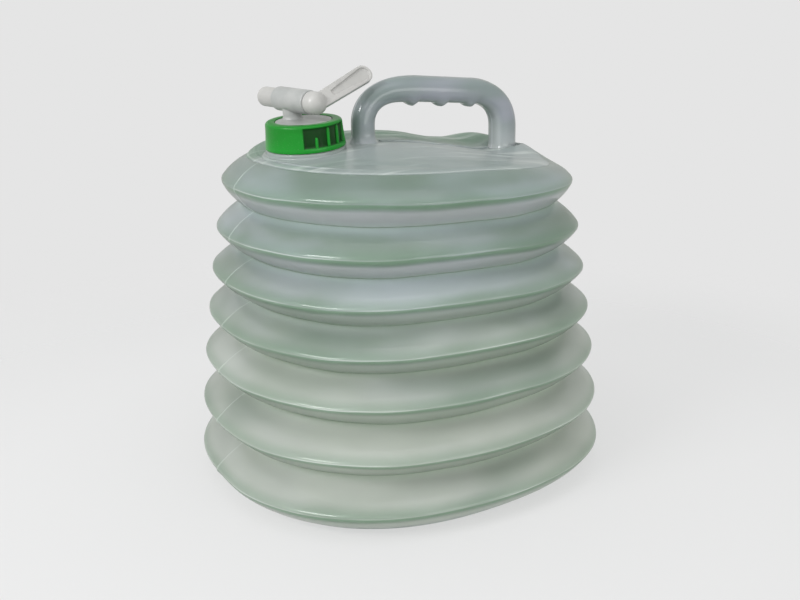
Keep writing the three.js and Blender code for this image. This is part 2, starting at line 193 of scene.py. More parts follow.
def finish_piece(piece: Piece, body: str, slot: str, *nodes: str) -> None:
    """Puts a finished piece on its body and hides the nodes of the frame that it replaces.

    Args:
        piece: The finished piece.
        body: The body it rides on.
        slot: The material slot of its finish; not used.
        nodes: The nodes of the frame that it replaces, if any.
    """
    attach(piece, body)
    if nodes:
        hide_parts(*nodes)
    log.info("%s on %s: %d faces", piece.name, body, len(piece.data.polygons))


def circle(radius: float, height: float, sides: int) -> np.ndarray:
    """Gives one level circle of points round the Z axis."""
    turns = np.arange(sides) / sides * TURN
    return np.stack([radius * np.cos(turns), radius * np.sin(turns), np.full(sides, height)], axis=-1)


def turned_rings(profile: list[Pair], sides: int) -> np.ndarray:
    """Gives the rings of a profile of radius and height turned about the Z axis."""
    return np.array([circle(radius, height, sides) for radius, height in profile])


def rounded(profile: list[Pair], radius: float, steps: int = 4) -> list[Pair]:
    """Rounds each corner of a closed profile.

    Args:
        profile: The corners in order.
        radius: How far from each corner its rounding starts, at most half of an edge.
        steps: The number of spans in a rounding.

    Returns:
        The corners of the rounded profile.
    """
    corners = [np.array(p, float) for p in profile]
    result: list[Pair] = []
    for i, corner in enumerate(corners):
        before = corners[i - 1] - corner
        after = corners[(i + 1) % len(corners)] - corner
        cut = min(radius, np.linalg.norm(before) * 0.45, np.linalg.norm(after) * 0.45)
        start = corner + before / np.linalg.norm(before) * cut
        end = corner + after / np.linalg.norm(after) * cut
        for s in np.linspace(0, 1, steps + 1):
            point = start * (1 - s) ** 2 + corner * 2 * s * (1 - s) + end * s ** 2
            result.append((float(point[0]), float(point[1])))
    return result


def moved(rings: np.ndarray, matrix: Matrix) -> np.ndarray:
    """Carries rings of points by a matrix whose units are millimetres."""
    turn = np.array(matrix.to_3x3())
    return rings @ turn.T + np.array(matrix.translation)


def ease(share: np.ndarray) -> np.ndarray:
    """Gives a smooth rise from 0 to 1, held at both ends."""
    held = np.clip(share, 0, 1)
    return held * held * (3 - 2 * held)


# Nodes

class Wiring:
    """Adds nodes to one tree, of a shader or of geometry, and joins them."""

    def __init__(self, tree: Tree) -> None:
        """Keeps the tree."""
        self.tree = tree

    def node(self, kind: str, **settings: object) -> Node:
        """Adds a node of a kind and sets its own properties.

        Args:
            kind: The kind of node.
            settings: The node's own properties.

        Returns:
            The node.
        """
        made = self.tree.nodes.new(kind)
        for key, value in settings.items():
            setattr(made, key, value)
        return made

    def feed(self, socket: Socket, value: object) -> None:
        """Links a socket into another, or sets it to a plain value.

        Args:
            socket: The input to feed.
            value: Another node's output, or a plain value.
        """
        if isinstance(value, Socket):
            self.tree.links.new(value, socket)
        else:
            socket.default_value = value

    def fed(self, kind: str, values: dict[int | str, object], out: int | str = 0,
            **settings: object) -> Socket:
        """Adds a node with its inputs fed.

        Args:
            kind: The kind of node.
            values: What goes into its inputs, by their places or names.
            out: The place or name of the output that is wanted.
            settings: The node's own properties.

        Returns:
            That output.
        """
        made = self.node(kind, **settings)
        for key, value in values.items():
            self.feed(made.inputs[key], value)
        return made.outputs[out]

    def math(self, operation: str, first: object, second: object = 0.0, clamp: bool = False) -> Socket:
        """Adds a Math node and gives its result."""
        return self.fed("ShaderNodeMath", {0: first, 1: second}, operation=operation, use_clamp=clamp)

    def plus(self, first: object, second: object) -> Socket:
        """Adds two numbers."""
        return self.math("ADD", first, second)

    def minus(self, first: object, second: object) -> Socket:
        """Takes the second number from the first."""
        return self.math("SUBTRACT", first, second)

    def times(self, first: object, second: object) -> Socket:
        """Multiplies two numbers."""
        return self.math("MULTIPLY", first, second)

    def over(self, first: object, second: object) -> Socket:
        """Divides the first number by the second."""
        return self.math("DIVIDE", first, second)

    def blend(self, share: object, first: object, second: object) -> Socket:
        """Adds a colour mix and gives its result."""
        return self.fed("ShaderNodeMix", {0: share, 6: first, 7: second}, 2, data_type="RGBA")

    def layered(self, colour: Socket, layers: tuple[tuple[Socket, object], ...]) -> Socket:
        """Lays colours over a first one, each by its own share.

        Args:
            colour: The first colour.
            layers: The share and the colour of each layer, in order.

        Returns:
            The colour that shows.
        """
        for share, layer in layers:
            colour = self.blend(share, colour, layer)
        return colour

    def between(self, value: object, low: object, high: object, first: float = 0.0,
                last: float = 1.0) -> Socket:
        """Maps a value smoothly from one range to another and holds it there."""
        numbers = dict(enumerate((value, low, high, first, last)))
        return self.fed("ShaderNodeMapRange", numbers, interpolation_type="SMOOTHSTEP")

    def noise(self, place: Socket, scale: object, detail: float = 2.0, rough: float = 0.5) -> Socket:
        """Adds a noise texture and gives its value."""
        values = {"Vector": place, "Scale": scale, "Detail": detail, "Roughness": rough}
        return self.fed("ShaderNodeTexNoise", values)

    def stretched(self, place: Socket, scale: Triple, turn: Triple = (0.0, 0.0, 0.0)) -> Socket:
        """Turns and scales a place."""
        return self.fed("ShaderNodeMapping", {"Vector": place, "Rotation": turn, "Scale": scale})

    def vector(self, x: object, y: object, z: object) -> Socket:
        """Joins three numbers."""
        return self.fed("ShaderNodeCombineXYZ", {0: x, 1: y, 2: z})

    def part(self, place: Socket, axis: str) -> Socket:
        """Gives one number of a place, by its axis."""
        return self.fed("ShaderNodeSeparateXYZ", {0: place}, axis)

    def stored(self, name: str) -> Socket:
        """Reads a number that the piece stores at each point, in a shader."""
        return self.node("ShaderNodeAttribute", attribute_name=name).outputs["Fac"]

    def given(self) -> dict[str, Socket]:
        """Gives what a group is given, by name."""
        return {socket.name: socket for socket in self.node("NodeGroupInput").outputs if socket.name}

    def put_out(self, values: dict[str, Socket]) -> Tree:
        """Feeds the outputs of a group by name and gives its tree.

        Args:
            values: What each output gives.

        Returns:
            The group.
        """
        out = self.node("NodeGroupOutput").inputs
        for name, value in values.items():
            self.feed(out[name], value)
        return self.tree

    def put_out_mesh(self, geometry: Socket, material: Socket) -> Tree:
        """Ends a geometry rule: makes its instances real, gives them the material and gives the tree.

        Args:
            geometry: The geometry to put out.
            material: Its material.

        Returns:
            The rule.
        """
        real = self.fed("GeometryNodeRealizeInstances", {0: geometry})
        dressed = self.fed("GeometryNodeSetMaterial", {"Geometry": real, "Material": material})
        return self.put_out({"Geometry": dressed})


def start_group(name: str, kind: str, inputs: dict[str, object], outputs: dict[str, str]) -> Wiring:
    """Starts a node group.

    Args:
        name: The name of the group.
        kind: "Shader" or "Geometry".
        inputs: The default of each input by name, or the kind of socket where it has no default.
        outputs: The kind of socket of each output by name.

    Returns:
        The wiring of the new tree.
    """
    tree = bpy.data.node_groups.new(name, f"{kind}NodeTree")
    kinds = {int: "Int", float: "Float", tuple: "Color"}
    for key, value in inputs.items():
        plain = isinstance(value, str)
        socket = value if plain else kinds[type(value)]
        item = tree.interface.new_socket(name=key, in_out="INPUT", socket_type=f"NodeSocket{socket}")
        if not plain:
            item.default_value = value
    for key, socket in outputs.items():
        tree.interface.new_socket(name=key, in_out="OUTPUT", socket_type=f"NodeSocket{socket}")
    return Wiring(tree)


def start_rule(name: str, numbers: dict[str, float]) -> Wiring:
    """Starts a geometry rule that takes a mesh, numbers with their defaults and a material."""
    inputs = {"Geometry": "Geometry", **numbers, "Material": "Material"}
    return start_group(name, "Geometry", inputs, {"Geometry": "Geometry"})


def grain_group() -> Tree:
    """Builds the moulded grain: a height of soft waviness, fine grain and thin scratches.

    Returns:
        The group.
    """
    w = start_group("moulded_grain", "Shader", {
        "Place": "Vector", "Wave Scale": 30.0, "Grain Scale": 900.0, "Grain Share": 0.15,
        "Scratch Share": 0.2,
    }, {"Height": "Float"})
    given = w.given()
    place = given["Place"]
    wave = w.noise(place, given["Wave Scale"], 3.0, 0.45)
    grain = w.noise(place, given["Grain Scale"], 2.0, 0.6)
    lines = w.noise(w.stretched(place, (90.0, 1400.0, 260.0), (0.4, 0.3, 0.7)), 1.0, 1.0)
    fine = w.times(grain, given["Grain Share"])
    cut = w.times(w.between(lines, 0.70, 0.76), given["Scratch Share"])
    return w.put_out({"Height": w.minus(w.plus(wave, fine), cut)})


def tone_group() -> Tree:
    """Builds the colour drift of moulded plastic: clouds between two tones, and faint dust.

    Returns:
        The group.
    """
    w = start_group("drifting_tone", "Shader", {
        "Place": "Vector", "Tone": (0.5, 0.5, 0.5, 1.0), "Second Tone": (0.4, 0.4, 0.4, 1.0),
        "Cloud Scale": 18.0, "Dust": 0.1,
    }, {"Colour": "Color", "Clouds": "Float"})
    given = w.given()
    place = given["Place"]
    clouds = w.between(w.noise(place, given["Cloud Scale"], 3.0, 0.55), 0.36, 0.64)
    toned = w.blend(clouds, given["Tone"], given["Second Tone"])
    specks = w.between(w.noise(place, 1300.0, 1.0), 0.66, 0.78)
    dusty = w.blend(w.times(specks, given["Dust"]), toned, (0.75, 0.76, 0.72, 1))
    return w.put_out({"Colour": dusty, "Clouds": clouds})


def placed_group(w: Wiring, tree: Tree, **values: object) -> Node:
    """Places a shader group and feeds its inputs by name, with spaces as underscores.

    Args:
        w: The wiring of the tree.
        tree: The group.
        values: What goes into its inputs.

    Returns:
        The node that holds the group.
    """
    made = w.node("ShaderNodeGroup", node_tree=tree)
    for key, value in values.items():
        w.feed(made.inputs[key.replace("_", " ")], value)
    return made


# Materials

def tint(red: int, green: int, blue: int) -> Colour:
    """Gives a linear colour from three screen values up to 255.

    Args:
        red: The red value.
        green: The green value.
        blue: The blue value.

    Returns:
        The colour, opaque.
    """
    def linear(value: int) -> float:
        """Takes the screen's curve off one value."""
        share = value / 255
        return share / 12.92 if share <= 0.04045 else ((share + 0.055) / 1.055) ** 2.4
    return (linear(red), linear(green), linear(blue), 1.0)


def new_material(name: str) -> tuple[Finish, Wiring]:
    """Makes an empty material, with the wiring of its tree.

    Args:
        name: The name of the material.

    Returns:
        The material and its wiring.
    """
    material = bpy.data.materials.new(name)
    material.use_nodes = True
    material.node_tree.nodes.clear()
    return material, Wiring(material.node_tree)


@dataclass(frozen=True)
class Plastic:
    """A moulded plastic or rubber that light hardly passes."""

    name: str
    tone: Colour
    second_tone: Colour
    roughness: float = 0.3
    rough_drift: float = 0.07
    cloud_scale: float = 70.0
    cloud_stretch: Triple = (1.0, 1.0, 1.0)
    dust: float = 0.05
    wave_scale: float = 120.0
    grain_share: float = 0.1
    scratch_share: float = 0.1
    bump: float = 0.2
    bump_depth: float = 0.0004
    ior: float = 1.5
    coat: float = 0.0
    coat_roughness: float = 0.03

    def colour(self, w: Wiring, place: Socket, drift: Socket) -> Socket:
        """Gives the colour over the surface, here the drift alone."""
        return drift

    def painted_glow(self, w: Wiring) -> Socket | None:
        """Gives a painted glow, here none."""
        return None

    def surface(self, w: Wiring, grain: Tree, tone: Tree) -> Socket:
        """Adds the surface, with its colour, relief and gloss.

        Args:
            w: The wiring of the tree.
            grain: The moulded grain group.
            tone: The drifting tone group.

        Returns:
            The shader of the surface.
        """
        place = w.node("ShaderNodeTexCoord").outputs["Object"]
        shade = placed_group(
            w, tone, Place=w.stretched(place, self.cloud_stretch), Tone=self.tone,
            Second_Tone=self.second_tone, Cloud_Scale=self.cloud_scale, Dust=self.dust,
        ).outputs
        relief = placed_group(
            w, grain, Place=place, Wave_Scale=self.wave_scale, Grain_Share=self.grain_share,
            Scratch_Share=self.scratch_share,
        ).outputs
        bump = {"Strength": self.bump, "Distance": self.bump_depth, "Height": relief["Height"]}
        values = {
            "Base Color": self.colour(w, place, shade["Colour"]),
            "Roughness": w.plus(w.times(shade["Clouds"], self.rough_drift), self.roughness),
            "IOR": self.ior,
            "Normal": w.fed("ShaderNodeBump", bump),
            "Coat Weight": self.coat,
            "Coat Roughness": self.coat_roughness,
        }
        # A painted glow, where the finish has one, goes in as emission.
        light = self.painted_glow(w)
        if light:
            values |= {"Emission Color": light, "Emission Strength": 1.0}
        return w.fed("ShaderNodeBsdfPrincipled", values)

    def make(self, grain: Tree, tone: Tree) -> Finish:
        """Makes the material.

        Args:
            grain: The moulded grain group.
            tone: The drifting tone group.

        Returns:
            The new material.
        """
        material, w = new_material(self.name)
        w.feed(w.node("ShaderNodeOutputMaterial").inputs["Surface"], self.surface(w, grain, tone))
        return material


@dataclass(frozen=True)
class MilkyPlastic(Plastic):
    """The thin translucent plastic of the container."""

    roughness: float = 0.28
    rough_drift: float = 0.08
    cloud_scale: float = 18.0
    cloud_stretch: Triple = (0.5, 0.5, 1.5)
    wave_scale: float = 15.0
    grain_share: float = 0.015
    scratch_share: float = 0.03
    bump: float = 0.5
    bump_depth: float = 0.004
    coat: float = 1.0
    coat_roughness: float = 0.07
    through: float = 0.5
    through_tone: Colour = tint(229, 233, 227)

    def surface(self, w: Wiring, grain: Tree, tone: Tree) -> Socket:
        """Adds the surface, mixed with the light that passes through the wall.

        Args:
            w: The wiring of the tree.
            grain: The moulded grain group.
            tone: The drifting tone group.

        Returns:
            The shader of the surface.
        """
        shell = super().surface(w, grain, tone)
        glow = w.fed("ShaderNodeBsdfTranslucent", {"Color": self.through_tone})
        return w.fed("ShaderNodeMixShader", {0: self.through, 1: shell, 2: glow})


@dataclass(frozen=True)
class FoldPlastic(MilkyPlastic):
    """The milky plastic of the folds, tinted up the container, with painted light, shade and highlights along
    each fold.
    """

    low_tone: Colour = tint(208, 211, 203)
    under_light_tone: Colour = tint(196, 208, 196)
    high_under_light_tone: Colour = tint(222, 222, 230)
    crest_shade_tone: Colour = tint(82, 134, 96)
    seam_and_highlight_tone: Colour = tint(240, 246, 242)
    valley_shade_tone: Colour = tint(104, 128, 108)
    pale_tone: Colour = tint(236, 238, 233)
    cool_tone: Colour = tint(206, 217, 231)
    deep_tone: Colour = tint(92, 120, 102)
    valley_glow_tone: Colour = tint(142, 158, 142)

    def colour(self, w: Wiring, place: Socket, drift: Socket) -> Socket:
        """Gives the colour: paler low down and cloudy, with painted reflection and painted shade in soft
        patches, painted light on the under panels and near the valleys, a painted dark band and a painted
        highlight at each crest, and a painted shade line in each valley.

        Args:
            w: The wiring of the tree.
            place: The place on the piece, in metres.
            drift: The drifting tone of the plastic.

        Returns:
            The colour.
        """
        way, edge, height = (w.stored(name) for name in ("crest_way", "edge_way", "height"))
        off = w.math("ABSOLUTE", w.part(place, "Y"))
        below_rim = w.between(height, 234.0, 240.0, 1.0, 0.0)
        # Noises for soft patches of painted reflection and painted shade.
        light = w.noise(w.stretched(place, (10.0, 10.0, 27.0), (0.25, 0.1, 0.0)), 1.0, 2.0, 0.4)
        dark = w.noise(w.stretched(place, (8.0, 8.0, 24.0), (-0.2, 0.2, 0.9)), 1.0, 2.5, 0.4)
        pale = w.blend(w.between(height, 110.0, 190.0), self.pale_tone, self.cool_tone)
        # Colour of the painted light through the under panels, by height.
        under = w.blend(w.between(height, 130.0, 200.0), self.under_light_tone, self.high_under_light_tone)
        # Masks of the painted dark band just below each crest and a painted dark tint just above it.
        band = w.times(w.between(way, -6.5, -1.5), w.between(way, -0.6, 0.0, 1.0, 0.0))
        above = w.times(w.between(way, 0.8, 10.0, 0.4, 0.0), w.between(way, 0.2, 0.5))
        # Painted highlight along each crest, broken into soft patches.
        patch = w.between(w.noise(place, 13.0, 1.0), 0.48, 0.66, 0.0, 0.6)
        line = w.times(w.between(way, -0.4, 0.0), w.between(way, 0.3, 0.7, 1.0, 0.0))
        return w.layered(drift, (
            (w.between(height, 60.0, 205.0, 0.75, 0.0), self.low_tone),
            # Soft patches of painted reflection.
            (w.between(light, 0.45, 0.66, 0.0, 0.32), pale),
            # Soft patches of painted shade.
            (w.between(dark, 0.49, 0.66, 0.0, 0.42), self.deep_tone),
            # Painted light near each valley, offsetting the shade there.
            (w.times(w.between(edge, 1.0, 13.0, 0.4, 0.0), below_rim), pale),
            (w.between(height, 231.0, 240.0, 0.0, 0.32), self.deep_tone),
            # Painted light on the under panels.
            (w.between(way, -8.0, -4.0, 0.65, 0.0), under),
            # Painted dark band below each crest and painted dark tint above it.
            (w.times(band, 0.85), self.crest_shade_tone),
            (above, self.crest_shade_tone),
            # Painted highlight on each crest.
            (w.times(line, patch), self.seam_and_highlight_tone),
            # Painted shade line in each valley.
            (w.times(w.between(edge, 0.3, 0.9, 0.45, 0.0), below_rim), self.valley_shade_tone),
            # Pale line along the mould's seam.
            (w.between(off, 0.0003, 0.0009, 0.5, 0.0), self.seam_and_highlight_tone),
        ))

    def painted_glow(self, w: Wiring) -> Socket:
        """Gives a painted glow near the valleys, which lifts the shade where little light comes from outside.

        Args:
            w: The wiring of the tree.

        Returns:
            The colour of the light.
        """
        # Painted glow: emission near each valley that lifts the shade there.
        deep = w.between(w.stored("edge_way"), 0.0, 8.0, 0.36, 0.0)
        share = w.times(deep, w.between(w.stored("height"), 234.0, 240.0, 1.0, 0.0))
        return w.blend(share, (0, 0, 0, 1), self.valley_glow_tone)


@dataclass(frozen=True)
class HandlePlastic(MilkyPlastic):
    """The milky plastic of the handle, paler at its feet, with a pale line in the parting plane that is the
    mould's seam and partly a painted highlight.
    """

    foot_tone: Colour = tint(205, 210, 210)
    seam_and_highlight_tone: Colour = tint(226, 230, 236)

    def colour(self, w: Wiring, place: Socket, drift: Socket) -> Socket:
        """Gives the colour: pale feet, a pale palm side and a pale line in the parting plane, partly a
        painted highlight.

        Args:
            w: The wiring of the tree.
            place: The place on the piece, in metres.
            drift: The drifting tone of the plastic.

        Returns:
            The colour.
        """
        off = w.math("ABSOLUTE", w.part(place, "Y"))
        return w.layered(drift, (
            (w.between(w.part(place, "Z"), 0.248, 0.272, 0.5, 0.0), self.foot_tone),
            (w.times(w.stored("palm"), 0.5), self.foot_tone),
            # Pale line in the parting plane: the mould's seam, partly a painted highlight.
            (w.between(off, 0.0004, 0.0011, 0.6, 0.0), self.seam_and_highlight_tone),
        ))


@dataclass(frozen=True)
class PlatePlastic(MilkyPlastic):
    """The milky plastic of the top plate, with painted shade on its back half and a painted highlight on its
    rim.
    """

    back_shade_tone: Colour = tint(102, 137, 113)
    streak_and_highlight_tone: Colour = tint(228, 234, 230)

    def colour(self, w: Wiring, place: Socket, drift: Socket) -> Socket:
        """Gives the colour: painted green shade on the back half, pale streaks and a painted highlight along
        the rim.

        Args:
            w: The wiring of the tree.
            place: The place on the piece, in metres.
            drift: The drifting tone of the plastic.

        Returns:
            The colour.
        """
        rim = w.stored("rim_way")
        # Painted shade: the back half is tinted darker and greener.
        back = w.between(w.part(place, "Y"), 0.0, 0.03)
        streak = w.noise(w.stretched(place, (12.0, 120.0, 40.0), (0.0, 0.0, 0.45)), 1.0, 3.0)
        # Painted highlight along the rim, fading out towards +X.
        line = w.times(w.between(rim, 0.6, 1.3), w.between(rim, 1.6, 2.6, 1.0, 0.0))
        return w.layered(drift, (
            (w.times(back, 0.9), self.back_shade_tone),
            (w.between(streak, 0.5, 0.72, 0.0, 0.5), self.streak_and_highlight_tone),
            (w.times(line, w.between(w.part(place, "X"), 0.03, 0.09, 0.3, 0.0)), self.streak_and_highlight_tone),
        ))


@dataclass(frozen=True)
class RingPlastic(MilkyPlastic):
    """The green plastic of the screw ring, with painted shade in its recessed windows."""

    window_shade_tone: Colour = tint(0, 56, 4)

    def colour(self, w: Wiring, place: Socket, drift: Socket) -> Socket:
        """Gives the colour: painted shade in the windows."""
        return w.blend(w.stored("recess"), drift, self.window_shade_tone)


@dataclass
class Finishes:
    """All finishes of the container, each made once."""

    fold: Finish = field(init=False)
    plate: Finish = field(init=False)
    handle: Finish = field(init=False)
    milky: Finish = field(init=False)
    green: Finish = field(init=False)
    natural: Finish = field(init=False)
    white: Finish = field(init=False)
    rubber: Finish = field(init=False)

    def __post_init__(self) -> None:
        """Makes the shared groups and then the materials."""
        grain = grain_group()
        tone = tone_group()
        plastics = {
            "fold": FoldPlastic("milky_fold", tint(166, 175, 180), tint(130, 149, 138)),
            "plate": PlatePlastic(
                "milky_plate", tint(166, 174, 176), tint(150, 162, 160), through=0.3, roughness=0.4,
                coat=0.5, coat_roughness=0.2, wave_scale=40.0,
            ),
            "handle": HandlePlastic(
                "milky_handle", tint(162, 166, 178), tint(130, 145, 144), through=0.36,
                wave_scale=60.0, bump=0.2,
            ),
            "milky": MilkyPlastic("milky_container", tint(188, 198, 196), tint(172, 185, 180), bump=0.15),
            "green": RingPlastic(
                "green_ring", tint(22, 134, 38), tint(16, 120, 30), through_tone=tint(30, 150, 46),
                through=0.04, roughness=0.3, coat=0.2, coat_roughness=0.1, bump=0.08, wave_scale=90.0,
                ior=1.25,
            ),
            "natural": Plastic("tap_natural", tint(162, 163, 161), tint(152, 154, 152), 0.34),
            "white": Plastic("tap_white", tint(174, 173, 170), tint(167, 166, 163)),
            "rubber": Plastic("washer_rubber", tint(190, 188, 180), tint(176, 175, 168), 0.6),
        }
        for name, plastic in plastics.items():
            setattr(self, name, plastic.make(grain, tone))


# The container

@dataclass(frozen=True)
class Moulding:
    """The sizes that all pieces of the container share."""

    plan_exponent: float = 2.3
    crest_halves: Pair = (155.0, 132.0)
    crest_power: float = 1.35
    valley_halves: Pair = (129.0, 118.0)
    base_crest_height: float = 19.0
    mean_pitch: float = 35.0
    pitch_shares: tuple[float, ...] = (1.07, 1.07, 0.97, 0.93, 0.93, 1.03)
    pan_rim: Pair = (139.0, 4.0)
    rim_half: float = 114.0
    rim_above_crest: float = 16.7
    plate_wall: float = 2.0
    plate_crown: float = 9.0
    crown_apex_x: float = -28.0
    plate_sag: float = 6.5
    sag_power: float = 1.2
    legs: Pair = (-29.0, 98.0)
    right_lift: float = 1.6
    lift_front: Pair = (-60.0, 0.0)
    lift_side: Pair = (70.0, 105.0)
    leg_dimple: Pair = (11.5, 17.5)
    neck_x: float = -76.5
    neck_lean_degrees: float = 5.5
    neck_tilt_degrees: float = 4.0
    seam_half_width: float = 0.9
    thread_lead: float = 6.0

    @property
    def crest_heights(self) -> list[float]:
        """The heights of the crests, from the base up."""
        heights = [self.base_crest_height]
        for share in self.pitch_shares:
            heights.append(heights[-1] + self.mean_pitch * share)
        return heights

    @property
    def rim_height(self) -> float:
        """The height of the rim that the top plate lies on."""
        return self.crest_heights[-1] + self.rim_above_crest

    @property
    def edges(self) -> list[Pair]:
        """The half side and height where each fold begins, from the base up, and the rim last."""
        heights = self.crest_heights
        folds = len(heights)
        low, high = self.valley_halves
        made = [self.pan_rim]
        for i in range(folds - 1):
            half = low + (high - low) * i / (folds - 2)
            made.append((half, (heights[i] + heights[i + 1]) / 2))
        made.append((self.rim_half, self.rim_height))
        return made

    def crest_half(self, level: int) -> float:
        """Gives the half side at a crest, counted from the base."""
        up = (level / (len(self.crest_heights) - 1)) ** self.crest_power
        low, high = self.crest_halves
        return low + (high - low) * up

    def turns(self, sides: int = 180) -> np.ndarray:
        """Gives the angles round the plan, closer together at the mould's parting plane.

        Args:
            sides: The number of even angles to start from.

        Returns:
            The angles in order, in radians.
        """
        even = np.arange(sides) / sides * TURN
        keep = [t for t in even if min(t, abs(t - math.pi), TURN - t) > 0.02]
        near = [0.0, 0.002, 0.0042, 0.0066, 0.011, 0.018]
        for middle in (0.0, math.pi):
            keep += [(middle + side * off) % TURN for off in near for side in (-1, 1) if off or side > 0]
        return np.array(sorted(keep))

    def reach(self, turns: np.ndarray) -> np.ndarray:
        """Gives the plan's radius for a half side of one at each angle."""
        n = self.plan_exponent
        return (np.abs(np.cos(turns)) ** n + np.abs(np.sin(turns)) ** n) ** (-1 / n)

    def sag(self, x: np.ndarray, y: np.ndarray) -> np.ndarray:
        """Gives how far the rim and the plate sag in front, and swell behind the right leg.

        Args:
            x: The places along the handle.
            y: The places across it.

        Returns:
            The fall at each place.
        """
        front = ease((y - self.lift_front[0]) / (self.lift_front[1] - self.lift_front[0]))
        side = ease((x - self.lift_side[0]) / (self.lift_side[1] - self.lift_side[0]))
        near, far = self.leg_dimple
        clear = ease((np.hypot(x - self.legs[1], y) - near) / (far - near))
        fall = self.plate_sag * (np.maximum(x, 0) / self.rim_half) ** self.sag_power
        return fall * (1 - self.right_lift * front * side * clear)

    def plate_height(self, x: np.ndarray, y: np.ndarray) -> np.ndarray:
        """Gives the height of the plate's outside at places in plan.

        Args:
            x: The places along the handle.
            y: The places across it.

        Returns:
            The height at each place.
        """
        low = np.zeros_like(x, float)
        high = np.ones_like(x, float)
        for _ in range(30):
            t = (low + high) / 2
            off = x - self.crown_apex_x * t
            size = np.hypot(off, y) / self.reach(np.arctan2(y, off))
            inside = size < self.rim_half * (1 - t)
            low = np.where(inside, t, low)
            high = np.where(inside, high, t)
        return self.rim_height + self.plate_wall + self.plate_crown * ease(low) - self.sag(x, y)

    @property
    def rule_inputs(self) -> dict[str, float]:
        """The fold rule's inputs that follow from the shared sizes."""
        return {
            "Plan Exponent": self.plan_exponent,
            "Seam Half Width": self.seam_half_width,
            "Sag": self.plate_sag,
            "Sag Power": self.sag_power,
            "Rim Half": self.rim_half,
            "Leg Place": self.legs[1],
            "Lift": self.right_lift,
            "Lift Front Low": self.lift_front[0],
            "Lift Front High": self.lift_front[1],
            "Lift Side Low": self.lift_side[0],
            "Lift Side High": self.lift_side[1],
            "Dimple Low": self.leg_dimple[0],
            "Dimple High": self.leg_dimple[1],
        }

    @property
    def neck_frame(self) -> Matrix:
        """The place of the neck's own axes, in millimetres."""
        lean = Matrix.Rotation(-math.radians(self.neck_lean_degrees), 4, "Y")
        tilt = Matrix.Rotation(math.radians(self.neck_tilt_degrees), 4, "X")
        return Matrix.Translation((self.neck_x, 0, self.rim_height)) @ lean @ tilt


def fold_rule(moulding: Moulding) -> Tree:
    """Builds the rule of a fold: its plan, its rim's sag, the mould's seam and a hand-made wobble.

    Args:
        moulding: The shared sizes, which its inputs start from.

    Returns:
        The rule.
    """
    w = start_rule("fold_rule", {
        **moulding.rule_inputs, "Seam Height": 0.55, "Wobble": 1.4, "Wobble Scale": 0.011, "Seed": 3.0,
    })
    given = w.given()

    def attribute(name: str) -> Socket:
        """Reads a number stored at each point."""
        return w.fed("GeometryNodeInputNamedAttribute", {"Name": name}, data_type="FLOAT")

    turn = attribute("turn")
    height = attribute("height")
    power = given["Plan Exponent"]
    cosine = w.math("COSINE", turn)
    sine = w.math("SINE", turn)
    across = w.math("POWER", w.math("ABSOLUTE", cosine), power)
    along = w.math("POWER", w.math("ABSOLUTE", sine), power)
    radius = w.over(attribute("half"), w.math("POWER", w.plus(across, along), w.over(1.0, power)))
    seed = w.times(given["Seed"], 37.0)

    def wobble(shift: float) -> Socket:
        """Gives a slow noise round zero, the same on both skins.

        Args:
            shift: How far up the noise is read.

        Returns:
            The noise.
        """
        x = w.plus(w.times(cosine, 150.0), seed)
        place = w.vector(x, w.times(sine, 150.0), w.plus(height, shift))
        return w.minus(w.noise(place, given["Wobble Scale"], 1.5, 0.5), 0.5)

    swing = w.times(given["Wobble"], attribute("calm"))
    outward = w.times(wobble(0.0), w.times(swing, 2.0))
    upward = w.times(wobble(900.0), w.times(swing, 3.0))
    off_plane = w.over(w.math("ABSOLUTE", w.times(radius, sine)), given["Seam Half Width"])
    near = w.math("SUBTRACT", 1.0, off_plane, clamp=True)
    bead = w.times(w.times(near, given["Seam Height"]), attribute("skin"))
    reach = w.plus(w.plus(radius, outward), bead)
    x = w.times(reach, cosine)
    y = w.times(reach, sine)
    past = w.math("MAXIMUM", w.over(x, given["Rim Half"]), 0.0)
    fall = w.times(w.math("POWER", past, given["Sag Power"]), given["Sag"])
    off = w.minus(x, given["Leg Place"])
    away = w.math("SQRT", w.plus(w.times(off, off), w.times(y, y)))
    front = w.between(y, given["Lift Front Low"], given["Lift Front High"])
    side = w.between(x, given["Lift Side Low"], given["Lift Side High"])
    clear = w.between(away, given["Dimple Low"], given["Dimple High"])
    lift = w.times(w.times(front, side), w.times(clear, given["Lift"]))
    sag = w.times(w.times(fall, w.minus(1.0, lift)), attribute("sag_share"))
    z = w.minus(w.plus(height, upward), sag)
    place = w.fed("ShaderNodeVectorMath", {0: w.vector(x, y, z), "Scale": MM}, operation="SCALE")
    shaped = w.fed("GeometryNodeSetPosition", {"Geometry": given["Geometry"], "Position": place})
    return w.put_out_mesh(shaped, given["Material"])


def run_rule(piece: Piece, tree: Tree, values: dict[str, object]) -> Piece:
    """Runs a geometry rule on a piece and keeps its result as a plain mesh.

    Args:
        piece: The piece whose mesh the rule works on.
        tree: The rule.
        values: The rule's inputs by name.

    Returns:
        The same piece with the result as its mesh.
    """
    modifier = piece.modifiers.new(tree.name, "NODES")
    modifier.node_group = tree
    for item in tree.interface.items_tree:
        if item.in_out == "INPUT" and item.name in values:
            modifier[item.identifier] = values[item.name]
    return settle(piece)


